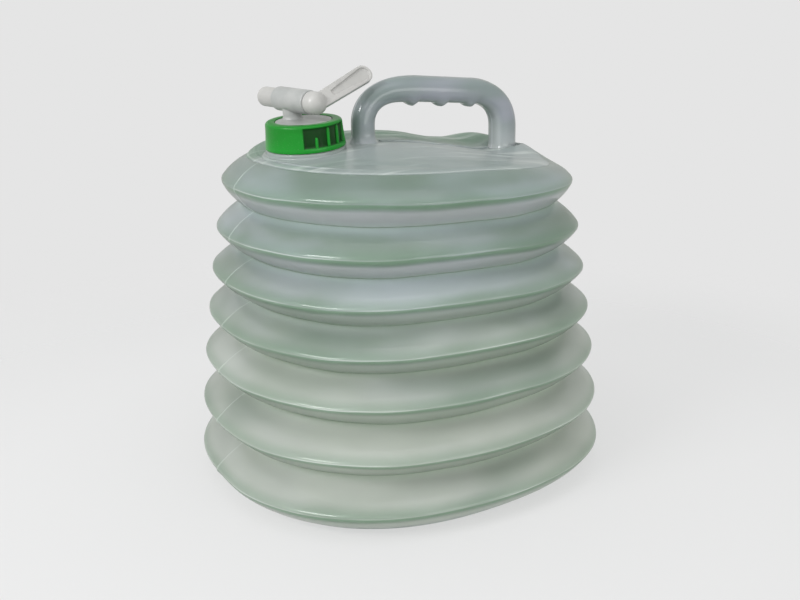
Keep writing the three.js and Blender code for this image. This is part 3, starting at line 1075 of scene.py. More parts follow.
@dataclass
class Bellows:
    """The seven folds, each one shell from valley to valley."""

    moulding: Moulding
    wall: float = 1.2
    bulge: float = 1.8
    tip_run: float = 2.6
    tip_proud: float = 0.85
    panel_steps: int = 16
    tip_steps: int = 8
    travel: float = 190.0
    wobble: float = 1.4
    calm_run: float = 12.0

    def outline(self, level: int) -> np.ndarray:
        """Gives the outside of a fold in section.

        Args:
            level: The fold, counted from the base.

        Returns:
            Points of half side and height, from the upper edge over the crest to the lower edge.
        """
        m = self.moulding
        foot = np.array(m.edges[level])
        top = np.array(m.edges[level + 1])
        apex = np.array([m.crest_half(level) + self.tip_proud, m.crest_heights[level]])

        def panel(end: np.ndarray, side: int) -> np.ndarray:
            """Gives a crowned panel from its edge to where the tip's rounding starts.

            Args:
                end: The panel's edge.
                side: 1 above the crest, -1 below it.

            Returns:
                Points of half side and height.
            """
            run = apex - end
            length = float(np.hypot(*run))
            normal = np.array([abs(run[1]), side * run[0]]) / length
            stop = 1 - self.tip_run / length
            s = np.linspace(0, stop, self.panel_steps)[:, None]
            return end + run * s + normal * 4 * self.bulge * s * (1 - s)

        upper = panel(top, 1)
        lower = panel(foot, -1)[::-1]
        s = np.linspace(0, 1, self.tip_steps + 1)[1:-1, None]
        tip = upper[-1] * (1 - s) ** 2 + apex * 2 * s * (1 - s) + lower[0] * s ** 2
        return np.vstack([upper, tip, lower])

    def inside(self, outline: np.ndarray) -> np.ndarray:
        """Gives the inside of a fold's wall, whose ends keep their height.

        Args:
            outline: The outside.

        Returns:
            The inside.
        """
        ahead = np.gradient(outline, axis=0)
        ahead /= np.linalg.norm(ahead, axis=1)[:, None]
        normal = np.stack([ahead[:, 1], -ahead[:, 0]], axis=-1)
        offset = outline + normal * self.wall
        for end in (0, -1):
            offset[end] = (outline[end][0] + self.wall / normal[end][0], outline[end][1])
        return offset

    def rings(self, level: int) -> dict[str, np.ndarray]:
        """Gives the numbers that the rule reads at each ring of a fold.

        Args:
            level: The fold, counted from the base.

        Returns:
            The numbers by name, over the outside and back along the inside.
        """
        outer = self.outline(level)
        inner = self.inside(outer)[::-1]
        run = np.concatenate([[0], np.cumsum(np.linalg.norm(np.diff(outer, axis=0), axis=1))])
        crest = run[int(np.argmax(outer[:, 0]))]
        way = crest - run
        edge = np.minimum(run, run[-1] - run)
        m = self.moulding
        profile = np.vstack([outer, inner])
        top = level == len(m.crest_heights) - 1
        low = m.crest_heights[level]
        share = np.clip((profile[:, 1] - low) / (m.edges[level + 1][1] - low), 0, 1)
        calm_top = np.clip((m.rim_height - profile[:, 1]) / self.calm_run, 0, 1)
        calm_foot = np.clip((profile[:, 1] - m.pan_rim[1]) / self.calm_run, 0, 1)
        return {
            "half": profile[:, 0],
            "height": profile[:, 1],
            "skin": np.concatenate([np.ones(len(outer)), np.zeros(len(inner))]),
            "sag_share": share ** 2 if top else np.zeros(len(profile)),
            "calm": calm_top * calm_foot,
            # crest_way and edge_way also place the painted highlight, painted shade and painted light of the
            # fold's finish.
            "crest_way": np.concatenate([way, way[::-1]]),
            "edge_way": np.concatenate([edge, edge[::-1]]),
        }

    def build(self, finishes: Finishes) -> None:
        """Builds each fold and puts it on its body.

        Args:
            finishes: All finishes of the container.
        """
        m = self.moulding
        rule = fold_rule(m)
        turns = m.turns()
        folds = len(m.crest_heights)
        for level in range(folds):
            number = folds - level
            numbers = self.rings(level)
            half = numbers["half"][:, None]
            height = numbers["height"][:, None]
            blank = np.broadcast_arrays(half * np.cos(turns), half * np.sin(turns), height)
            piece = ring_piece(f"fold_{number}", np.stack(blank, axis=-1), True)
            for name, values in numbers.items():
                store(piece, name, np.repeat(values, len(turns)))
            store(piece, "turn", np.tile(turns, len(half)))
            run_rule(piece, rule, {**m.rule_inputs, "Wobble": self.wobble, "Material": finishes.fold})
            body = Body.BASE.value if level == 0 else f"fold_{number}"
            finish_piece(piece, body, "milky_container", f"bellows_fold_{number}")
            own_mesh(piece)


@dataclass
class BasePan:
    """The foot of the container: a turned-up rim, a flat foot and a shallow recess."""

    moulding: Moulding
    foot_outer_half: float = 132.0
    foot_inner_half: float = 110.0
    foot_recess: float = 2.5
    recess_run: float = 4.0
    wall: float = 1.6
    pinch_height: float = 0.9
    pinch_half_width: float = 1.2

    def build(self, finishes: Finishes) -> None:
        """Builds the pan with the pinch-off line of the mould across its recess.

        Args:
            finishes: All finishes of the container.
        """
        m = self.moulding
        turns = m.turns()
        reach = m.reach(turns)
        rim_half, rim_height = m.pan_rim
        outside = [
            (rim_half, rim_height), (rim_half - 1.6, 2.2), (rim_half - 3.8, 0.9),
            (self.foot_outer_half, 0.15), (self.foot_outer_half - 3, 0),
            (self.foot_inner_half + 2, 0), (self.foot_inner_half, 0.25),
            (self.foot_inner_half - self.recess_run, self.foot_recess - 0.3),
            (self.foot_inner_half - self.recess_run - 3, self.foot_recess),
        ]
        outside += [(half, self.foot_recess) for half in (90.0, 72.0, 54.0, 36.0, 18.0, 6.0)]
        inside = [(half - (0.8 if half > 100 else 0), height + self.wall) for half, height in outside]
        inside[0] = (rim_half - 2.4, rim_height)
        profile = outside[::-1] + inside
        rings = np.zeros((len(profile), len(turns), 3))
        for i, (half, height) in enumerate(profile):
            rings[i, :, 0] = half * reach * np.cos(turns)
            rings[i, :, 1] = half * reach * np.sin(turns)
            under = i < len(outside)
            near = np.clip(1 - np.abs(rings[i, :, 1]) / self.pinch_half_width, 0, 1)
            drop = near * self.pinch_height if under and half < self.foot_inner_half - self.recess_run else 0
            rings[i, :, 2] = height - drop
        piece = ring_piece("pan", rings, False, finishes.milky)
        finish_piece(piece, Body.BASE.value, "milky_container", "base_pan")


@dataclass
class TopPlate:
    """The crowned plate over the top fold, with its rim crease, wrinkles and parting ridge."""

    moulding: Moulding
    rim_round: float = 8.0
    rim_section: tuple[Pair, ...] = (
        (0.0, -0.05), (0.0, 0.04), (0.12, 0.24), (0.28, 0.46), (0.5, 0.7), (0.75, 0.89), (1.0, 1.0))
    gap: float = 0.15
    rows: int = 46
    sides: int = 260
    wrinkle: float = 0.9
    wrinkle_count: int = 26
    swell_height: float = 8.0
    swell_start: float = 3.0
    swell_run: float = 56.0
    swell_edge_power: int = 13
    swell_dip: float = 0.3
    swell_dip_turn: float = 0.8
    neck_opening: float = 23.3
    leg_opening: Pair = (8.8, 9.7)
    leg_clear: float = 14.0
    ridge_width: float = 1.6
    ridge_height: float = 1.2

    def wrinkles(self, x: np.ndarray, y: np.ndarray) -> np.ndarray:
        """Gives the height of the fine slanting wrinkles, calm round the neck, the legs and the rim.

        Args:
            x: The places along the handle.
            y: The places across it.

        Returns:
            The height at each place.
        """
        m = self.moulding
        rng = np.random.default_rng(11)
        height = np.zeros_like(x)
        for _ in range(self.wrinkle_count):
            angle = rng.uniform(-0.75, -0.2) + (math.pi / 2 if rng.random() < 0.12 else 0)
            cx, cy = rng.uniform(-70, 80), rng.uniform(-95, 95)
            long = rng.uniform(22, 60)
            wide = rng.uniform(1.8, 4.2)
            u = (x - cx) * math.cos(angle) + (y - cy) * math.sin(angle)
            v = -(x - cx) * math.sin(angle) + (y - cy) * math.cos(angle) + 0.004 * u * u
            shape = np.exp(-(u / long) ** 2 - (v / wide) ** 2)
            height += shape * rng.uniform(-0.6, 0.8)
        calm = np.clip((np.hypot(x - m.neck_x, y) - 34) / 12, 0, 1)
        for leg in m.legs:
            calm = calm * np.clip((np.hypot(x - leg, y) - self.leg_clear) / 10, 0, 1)
        calm = calm * np.clip((np.abs(y) - 1.0) / 5, 0.15, 1)
        size = np.maximum(np.abs(x), np.abs(y)) / m.rim_half
        calm = calm * np.clip((1.0 - size) / 0.08, 0, 1)
        return height * calm * self.wrinkle

    def swell(self, x: np.ndarray, y: np.ndarray) -> np.ndarray:
        """Gives how far the back half of the plate is blown up between its rim and the handle.

        Args:
            x: The places along the handle.
            y: The places across it.

        Returns:
            The rise at each place.
        """
        m = self.moulding
        turns = np.arctan2(y, x)
        size = np.hypot(x, y) / (m.rim_half * m.reach(turns))
        lobes = 1 - self.swell_dip * np.exp(-((turns - self.swell_dip_turn) / 0.2) ** 2)
        rise = (y - self.swell_start) / self.swell_run
        clear = np.clip((np.hypot(x - m.neck_x, y) - 35) / 30, 0, 1)
        leg = np.clip((np.hypot(x - m.legs[1], y) - 13) / 16, 0, 1)
        fade = 1 - np.clip(size, 0, 1) ** self.swell_edge_power
        return self.swell_height * lobes * ease(rise) * clear * leg * fade

    def grid(self) -> np.ndarray:
        """Gives the rings of the plate, from the middle of its underside out and back over the top."""
        m = self.moulding
        turns = np.arange(self.sides) / self.sides * TURN
        reach = m.reach(turns)

        def ring(t: float, lift: float, inset: float = 0.0, wrinkled: bool = False) -> np.ndarray:
            """Gives one ring at a share of the way from the rim to the crown.

            Args:
                t: The share of the way.
                lift: The height over the rim.
                inset: How far inside the rim it starts.
                wrinkled: Whether the wrinkles shape it.

            Returns:
                The points of the ring.
            """
            size = (m.rim_half - inset) * (1 - t)
            x = m.crown_apex_x * t + size * reach * np.cos(turns)
            y = size * reach * np.sin(turns)
            z = m.rim_height + lift + m.plate_crown * ease(t) - m.sag(x, y) + self.swell(x, y)
            if wrinkled:
                z = z + self.wrinkles(x, y)
            return np.stack([x, y, z], axis=-1)

        steps = [s for s in np.linspace(0, 1, self.rows) if s < 0.985][1:]
        under = [ring(t, self.gap) for t in reversed(steps)]
        under.append(ring(0, self.gap, 0.6))
        rim = [ring(0, m.plate_wall * lift, self.rim_round * inset) for inset, lift in self.rim_section]
        over = [ring(t, m.plate_wall, 0.0, True) for t in steps if t * m.rim_half > self.rim_round + 1]
        return np.array(under + rim + over)

    def ridge(self) -> np.ndarray:
        """Gives the rings of the thin web of the parting plane between the legs."""
        m = self.moulding
        places = np.linspace(m.legs[0] + 11.5, m.legs[1] - 11.5, 60)
        heights = m.plate_height(places, np.zeros_like(places))
        half, high = self.ridge_width / 2, self.ridge_height
        section = rounded([(-0.8, -0.6), (0.8, -0.6), (half, high), (-half, high)], 0.6, 3)
        return np.array([[(x, y, z + rise) for y, rise in section] for x, z in zip(places, heights)])

    def build(self, finishes: Finishes) -> None:
        """Builds the plate with its three openings, and the parting ridge on it.

        Args:
            finishes: All finishes of the container.
        """
        m = self.moulding
        plate = ring_piece("plate", self.grid(), False, finishes.plate)
        flat = np.array([v.co for v in plate.data.vertices]) / MM
        edge = m.rim_half * m.reach(np.arctan2(flat[:, 1], flat[:, 0]))
        # rim_way also places the painted highlight along the rim.
        store(plate, "rim_way", edge - np.hypot(flat[:, 0], flat[:, 1]))
        neck = turned_rings([(self.neck_opening, -20.0), (self.neck_opening, 20.0)], 72)
        combine(plate, moved(neck, m.neck_frame), "DIFFERENCE")
        for leg in m.legs:
            post = turned_rings([(1.0, m.rim_height - 20), (1.0, m.rim_height + 20)], 48)
            post *= (*self.leg_opening, 1.0)
            post[:, :, 0] += leg
            combine(plate, post, "DIFFERENCE")
        finish_piece(plate, Body.TOP.value, "milky_container", "top_plate")
        ridge = ring_piece("parting_ridge", self.ridge(), False, finishes.plate)
        finish_piece(ridge, Body.TOP.value, "milky_container")


@dataclass
class CarryHandle:
    """The hollow handle: two legs, two shoulders and a grip with ridges between the fingers."""

    moulding: Moulding
    grip_rise: float = 51.0
    grip_drop: float = 2.3
    reaches: Pair = (42.0, 36.0)
    falls: Pair = (26.0, 30.0)
    pull: float = 0.62
    leg_half_thick: float = 10.6
    grip_half_thick: float = 10.2
    half_depth: float = 11.5
    left_half_thick: float = 8.5
    left_half_depth: float = 9.3
    left_shift: float = -2.4
    wall: float = 1.8
    foot_flare: float = 2.6
    flare_height: float = 7.0
    sink: float = 0.8
    sides: int = 56
    bump_count: int = 3
    bump_pitch: float = 27.0
    bump_height: float = 3.2
    bump_half_width: float = 6.5
    first_bump: float = 10.0
    seam_height: float = 0.4

    def path(self) -> tuple[np.ndarray, np.ndarray]:
        """Gives places and directions along the middle line above the legs' straight parts.

        Returns:
            The places, and the directions of length one.
        """
        m = self.moulding
        left, right = m.legs
        grip = m.rim_height + self.grip_rise
        drop = grip - self.grip_drop
        start = (left, grip - self.falls[0])
        end = (right, drop - self.falls[1])
        near = (left + self.reaches[0], grip)
        far = (right - self.reaches[1], drop)
        first = [
            start, (left, start[1] + self.falls[0] * self.pull),
            (left + self.reaches[0] * (1 - self.pull), grip), near,
        ]
        last = [
            far, (right - self.reaches[1] * (1 - self.pull), drop),
            (right, end[1] + self.falls[1] * self.pull), end,
        ]
        thirds = [tuple(np.array(near) * (1 - s) + np.array(far) * s) for s in (1 / 3, 2 / 3)]

        def curve(corners: list[Pair], steps: int) -> tuple[np.ndarray, np.ndarray]:
            """Gives points and directions along one cubic curve.

            Args:
                corners: Its four corners.
                steps: The number of points.

            Returns:
                The points and the directions.
            """
            p = np.array(corners)
            s = np.linspace(0, 1, steps)[:, None]
            r = 1 - s
            place = p[0] * r ** 3 + 3 * p[1] * s * r ** 2 + 3 * p[2] * s ** 2 * r + p[3] * s ** 3
            ahead = 3 * ((p[1] - p[0]) * r ** 2 + 2 * (p[2] - p[1]) * s * r + (p[3] - p[2]) * s ** 2)
            return place, ahead / np.linalg.norm(ahead, axis=1)[:, None]

        parts = [curve(first, 26), curve([near, *thirds, far], 60), curve(last, 26)]
        place, ahead = (np.vstack([parts[0][k], parts[1][k][1:-1], parts[2][k]]) for k in (0, 1))
        return place, ahead

    def section(self, inset: float, bump: float) -> tuple[np.ndarray, np.ndarray]:
        """Gives one oval section, flatter on the side of the fingers.

        Args:
            inset: How far inside the outer skin it lies.
            bump: How far the underside stands out.

        Returns:
            The reach away from the fingers and the depth, at each side.
        """
        angles = np.arange(self.sides) / self.sides * TURN
        c, s = np.cos(angles), np.sin(angles)
        power = np.where(c < 0, 2.9, 2.15)
        size = (np.abs(c) ** power + np.abs(s) ** power) ** (-1 / power)
        out = size * c
        deep = size * s
        seam = np.clip(1 - np.abs(s) * 10, 0, 1) * (c > 0) * (self.seam_height if inset == 0 else 0)
        push = np.where(c < 0, np.abs(out) ** 2, 0) * bump * (inset == 0)
        return np.stack([out, seam - push], axis=-1), deep

    def finger_bump(self, x: float) -> float:
        """Gives how far the underside of the grip stands out at a place along it.

        Args:
            x: The place.

        Returns:
            The height there.
        """
        bump = 0.0
        for i in range(self.bump_count):
            off = (x - self.first_bump - i * self.bump_pitch) / self.bump_half_width
            lean = off * (0.86 if off < 0 else 1.18)
            bump = max(bump, 0.5 + 0.5 * math.cos(min(abs(lean), 1) * math.pi))
        return bump * self.bump_height

    def skin(self, inset: float) -> np.ndarray:
        """Gives the rings of one skin, from the left foot over the grip to the right foot.

        Args:
            inset: How far inside the outer skin it lies.

        Returns:
            The rings.
        """
        m = self.moulding
        place, ahead = self.path()
        rings = []

        def ring(x: float, z: float, dx: float, dz: float) -> np.ndarray:
            """Gives the ring round one place.

            Args:
                x: The place along the handle.
                z: Its height.
                dx: The way along the handle.
                dz: The way up.

            Returns:
                The points of the ring.
            """
            steep = abs(dz)
            slim = float(ease((12 - x) / 38))
            half = self.grip_half_thick + (self.leg_half_thick - self.grip_half_thick) * steep
            half += (self.left_half_thick - half) * slim - inset
            depth = self.half_depth + (self.left_half_depth - self.half_depth) * slim - inset
            reach, deep = self.section(inset, self.finger_bump(x) * (1 - steep))
            out = reach[:, 0] * half + reach[:, 1] - self.left_shift * slim
            return np.stack([x - dz * out, deep * depth, z + dx * out], axis=-1)

        def leg(x: float, top: float, up: float) -> list[np.ndarray]:
            """Gives the rings of a leg, from the plate to the start of its shoulder.

            Args:
                x: The place of the leg.
                top: The height of its shoulder.
                up: 1 where the skin runs up, -1 down.

            Returns:
                The rings from the plate up.
            """
            made = []
            flat = ring(x, top, 0.0, up)
            base = m.plate_height(flat[:, 0], flat[:, 1]) - self.sink
            for s in np.linspace(0, 1, 22)[:-1] ** 1.6:
                level = flat.copy()
                level[:, 2] = base + (top - base) * s
                above = level[:, 2] - base - self.sink
                flare = self.foot_flare * np.clip(1 - above / self.flare_height, 0, 1.1) ** 2.4
                spread = np.stack([flat[:, 0] - x, flat[:, 1]], axis=-1)
                spread /= np.linalg.norm(spread, axis=1)[:, None]
                level[:, :2] += spread * flare[:, None] * (1 if inset == 0 else 0)
                made.append(level)
            return made

        rings += leg(m.legs[0], place[0][1], 1.0)
        rings += [ring(p[0], p[1], d[0], d[1]) for p, d in zip(place, ahead)]
        rings += leg(m.legs[1], place[-1][1], -1.0)[::-1]
        return np.array(rings)

    def build(self, finishes: Finishes) -> None:
        """Builds the handle with its hollow inside.

        Args:
            finishes: All finishes of the container.
        """
        rings = np.concatenate([self.skin(0.0), self.skin(self.wall)[::-1]])
        piece = ring_piece("handle", rings, True, finishes.handle)
        across = self.section(0.0, 0.0)[0][:, 0]
        store(piece, "palm", np.tile(np.clip((-across - 0.6) / 0.3, 0, 1), len(rings)))
        finish_piece(piece, Body.TOP.value, "milky_container", "carry_handle")


# The closure

def helix_rule() -> Tree:
    """Builds the rule of a screw thread: a ridge swept along a spiral.

    Returns:
        The rule.
    """
    w = start_rule("thread_rule", {"Radius": 24.0, "Lead": 6.0, "Turns": 2.0, "Start": 14.0, "Ridge": 1.0})
    given = w.given()
    radius = w.times(given["Radius"], MM)
    spiral = w.fed("GeometryNodeCurveSpiral", {
        "Resolution": 72, "Rotations": given["Turns"], "Start Radius": radius, "End Radius": radius,
        "Height": w.times(w.times(given["Lead"], given["Turns"]), MM),
    })
    shift = w.vector(0.0, 0.0, w.times(given["Start"], MM))
    lifted = w.fed("GeometryNodeTransform", {"Geometry": spiral, "Translation": shift})
    upright = w.fed("GeometryNodeSetCurveNormal", {"Curve": lifted}, mode="Z_UP")
    size = {"Resolution": 10, "Radius": w.times(given["Ridge"], MM)}
    ridge = w.fed("GeometryNodeCurvePrimitiveCircle", size)
    swept = w.fed("GeometryNodeCurveToMesh", {"Curve": upright, "Profile Curve": ridge, "Fill Caps": True})
    return w.put_out_mesh(swept, given["Material"])


def seat_mesh(mesh: Mesh, matrix: Matrix) -> None:
    """Carries a mesh in metres by a matrix whose move is in millimetres."""
    turn = matrix.to_3x3().to_4x4()
    mesh.transform(Matrix.Translation(matrix.translation * MM) @ turn)


def thread_piece(name: str, rule: Tree, matrix: Matrix, values: dict[str, object]) -> Piece:
    """Builds a screw thread round the neck's axis.

    Args:
        name: The name of the piece.
        rule: The rule of the thread.
        matrix: The place of the neck's own axes, in millimetres.
        values: The rule's inputs by name.

    Returns:
        The thread, in its place.
    """
    piece = run_rule(place_piece(name, bpy.data.meshes.new(name)), rule, values)
    seat_mesh(piece.data, matrix)
    return piece


@dataclass
class ScrewNeck:
    """The neck: a collar on the plate, a stop ring and a threaded tube."""

    moulding: Moulding
    bore: float = 20.5
    tube: float = 24.0
    root: float = 23.0
    stop: float = 29.0
    stop_top: float = 10.3
    collar: float = 32.0
    collar_top: float = 6.6
    collar_spread: float = 2.2
    top: float = 23.1
    sides: int = 120
    thread_turns: float = 1.6
    thread_start: float = 12.2
    thread_ridge: float = 1.0

    def build(self, finishes: Finishes, thread: Tree) -> None:
        """Builds the neck, with its collar blended into the plate, and the thread on it.

        Args:
            finishes: All finishes of the container.
            thread: The rule of the thread.
        """
        m = self.moulding
        upper = rounded([
            (self.bore, -4.0), (self.bore, self.top), (self.tube, self.top), (self.tube, self.stop_top),
            (self.stop, self.stop_top), (self.stop, self.collar_top), (self.collar, self.collar_top),
            (self.collar + 0.6, 2.0), (self.root, 1.0), (self.root, -4.0),
        ], 1.5, 5)
        rings = turned_rings(upper, self.sides)
        matrix = m.neck_frame
        axis = np.array(matrix.to_3x3() @ Vector((0, 0, 1)))
        placed = moved(rings, matrix)
        for i, (radius, height) in enumerate(upper):
            if radius < self.stop + 0.2 or height > self.collar_top - 1.6:
                continue
            ring = rings[i].copy()
            spread = 1 + self.collar_spread / radius * max(0.0, (3.6 - height) / 2.6)
            ring[:, :2] *= spread
            ring = moved(ring, matrix)
            floor = m.plate_height(ring[:, 0], ring[:, 1]) - 0.8
            share = np.clip((height - 1.0) / 4.0, 0, 1)
            target = floor + (placed[i][:, 2] - floor) * share
            step = (target - ring[:, 2]) / axis[2]
            placed[i] = ring + step[:, None] * axis
        piece = ring_piece("neck", placed, True, finishes.milky)
        finish_piece(piece, Body.TOP.value, "milky_container", "screw_neck")
        ridge = thread_piece("neck_thread", thread, matrix, {
            "Radius": self.tube - 0.3, "Lead": m.thread_lead, "Turns": self.thread_turns,
            "Start": self.thread_start, "Ridge": self.thread_ridge, "Material": finishes.milky,
        })
        finish_piece(ridge, Body.TOP.value, "milky_container")


def rib_rule() -> Tree:
    """Builds the rule of the finger ribs: one rib repeated round the ring in even groups.

    Returns:
        The rule.
    """
    w = start_rule("rib_rule", {"Windows": 2, "Ribs": 3, "Start": -115.0, "Sweep": 82.0, "Short Share": 0.55})
    given = w.given()
    ribs = given["Ribs"]
    points = w.fed("GeometryNodePoints", {"Count": w.times(given["Windows"], ribs)})
    index = w.node("GeometryNodeInputIndex").outputs[0]
    group = w.math("FLOOR", w.over(index, ribs))
    place = w.plus(w.math("MODULO", index, ribs), 1.0)
    inner = w.plus(given["Start"], w.times(place, w.over(given["Sweep"], w.plus(ribs, 1.0))))
    outer = w.times(group, w.over(360.0, given["Windows"]))
    turn = w.vector(0.0, 0.0, w.math("RADIANS", w.plus(inner, outer)))
    first = w.math("COMPARE", place, 1.0)
    tall = w.minus(1.0, w.times(first, w.minus(1.0, given["Short Share"])))
    copies = w.fed("GeometryNodeInstanceOnPoints", {
        "Points": points, "Instance": given["Geometry"], "Rotation": turn, "Scale": w.vector(1.0, 1.0, tall),
    })
    return w.put_out_mesh(copies, given["Material"])


@dataclass
class ScrewRing:
    """The green ring: a bead, two recessed finger windows with ribs, and a rounded top."""

    moulding: Moulding
    bottom: float = 10.6
    height: float = 19.8
    lid: float = 2.6
    hole: float = 20.8
    inner: float = 25.2
    radius: float = 27.8
    bead: float = 29.1
    bead_height: float = 2.4
    top_round: float = 2.4
    window_depth: float = 1.4
    windows: int = 2
    window_degrees: float = 82.0
    window_start: float = -115.0
    ribs: int = 3
    rib_half_width: float = 1.15
    rib_foot: float = 0.3
    sides: int = 360
    thread_turns: float = 1.1
    thread_start: float = 15.4
    thread_ridge: float = 0.85

    @property
    def top(self) -> float:
        """The height of the ring's top above the rim."""
        return self.bottom + self.height

    def recess(self, turns: np.ndarray, height: float) -> np.ndarray:
        """Gives the share of the window's depth at each angle, at a height.

        Args:
            turns: The angles.
            height: The height over the rim.

        Returns:
            The share at each angle.
        """
        low = self.bottom + self.bead_height + 0.5
        high = self.top - self.top_round
        level = np.clip((height - low) / 0.7, 0, 1) * np.clip((high + 0.6 - height) / 0.7, 0, 1)
        cut = np.zeros_like(turns)
        half = math.radians(self.window_degrees) / 2
        for w in range(self.windows):
            middle = math.radians(self.window_start) + half + w / self.windows * TURN
            off = np.abs((turns - middle + math.pi) % TURN - math.pi)
            cut = np.maximum(cut, ease((half - off) / 0.03))
        return cut * level

    def outline(self) -> tuple[list[Pair], list[Pair]]:
        """Gives the outside and the inside of the ring in section, as radius and height.

        Returns:
            Both outlines.
        """
        top, bottom, shoulder = self.top, self.bottom, self.bottom + self.bead_height
        side_top = top - self.top_round
        outside = [
            (self.bead - 0.5, bottom), (self.bead - 0.1, bottom + 0.15), (self.bead, bottom + 0.6),
            (self.bead, shoulder - 0.5), (self.bead - 0.05, shoulder - 0.1),
            (self.bead - 0.1, shoulder + 0.3),
        ]
        for s in np.linspace(0, 1, 22):
            flare = (self.bead - 0.15 - self.radius) * (1 - s) ** 1.5
            outside.append((self.radius + flare, shoulder + 0.5 + (side_top - shoulder - 0.5) * s))
        for turn in np.linspace(0, math.pi / 2, 8)[1:]:
            inward = self.top_round * (1 - math.cos(turn))
            outside.append((self.radius - inward, side_top + self.top_round * math.sin(turn)))
        lid = top - self.lid
        inside = [
            (self.hole + 0.6, top), (self.hole + 0.15, top - 0.15), (self.hole, top - 0.6),
            (self.hole, lid + 0.4), (self.hole + 0.4, lid), (self.inner - 0.5, lid), (self.inner, lid - 0.5),
            (self.inner, bottom + 0.6), (self.inner + 0.5, bottom),
        ]
        return outside, inside

    def rib(self) -> np.ndarray:
        """Gives the rings of one rib from its foot to its rounded top.

        Returns:
            The rings.
        """
        tall = self.height - self.top_round - self.bead_height - self.rib_foot
        depth = self.window_depth + 0.3
        base = self.radius - depth
        section = [
            (base + (depth + 0.05) * math.sin(turn) ** 0.8, self.rib_half_width * math.cos(turn))
            for turn in np.linspace(0, math.pi, 13)
        ]
        rows = []
        for s in (0.0, 0.1, 0.3, 0.5, 0.7, 0.82, 0.9, 0.95, 0.985, 1.0):
            rest = max(0.0, (s - 0.82) / 0.18)
            slim = math.sqrt(max(0.0, 1 - rest * rest)) * 0.97 + 0.03
            rows.append([(base + (x - base) * slim, y * slim, tall * s) for x, y in section])
        return np.array(rows)

    def build(self, finishes: Finishes, thread: Tree) -> None:
        """Builds the ring, its ribs and the thread inside it.

        Args:
            finishes: All finishes of the container.
            thread: The rule of the thread.
        """
        m = self.moulding
        turns = np.arange(self.sides) / self.sides * TURN
        outside, inside = self.outline()
        cuts = [self.recess(turns, height) for _, height in outside]
        cuts += [np.zeros(self.sides)] * len(inside)
        rings = []
        for (radius, height), cut in zip(outside + inside, cuts):
            reach = radius - cut * (self.window_depth + radius - self.radius)
            level = np.full(self.sides, height)
            rings.append(np.stack([reach * np.cos(turns), reach * np.sin(turns), level], axis=-1))
        piece = ring_piece("screw_ring", moved(np.array(rings), m.neck_frame), True, finishes.green)
        # The recess share also sets the painted shade in the windows.
        store(piece, "recess", np.concatenate(cuts))
        finish_piece(piece, Body.RING.value, "green_ring", "ring_cap")

        ribs = ring_piece("ring_ribs", self.rib(), False)
        run_rule(ribs, rib_rule(), {
            "Windows": self.windows, "Ribs": self.ribs, "Start": self.window_start,
            "Sweep": self.window_degrees, "Material": finishes.green,
        })
        foot = self.bottom + self.bead_height + self.rib_foot
        seat_mesh(ribs.data, m.neck_frame @ Matrix.Translation((0, 0, foot)))
        finish_piece(ribs, Body.RING.value, "green_ring")

        inner = thread_piece("ring_thread", thread, m.neck_frame, {
            "Radius": self.inner + 0.3, "Lead": m.thread_lead, "Turns": self.thread_turns,
            "Start": self.thread_start, "Ridge": self.thread_ridge, "Material": finishes.green,
        })
        finish_piece(inner, Body.RING.value, "green_ring")


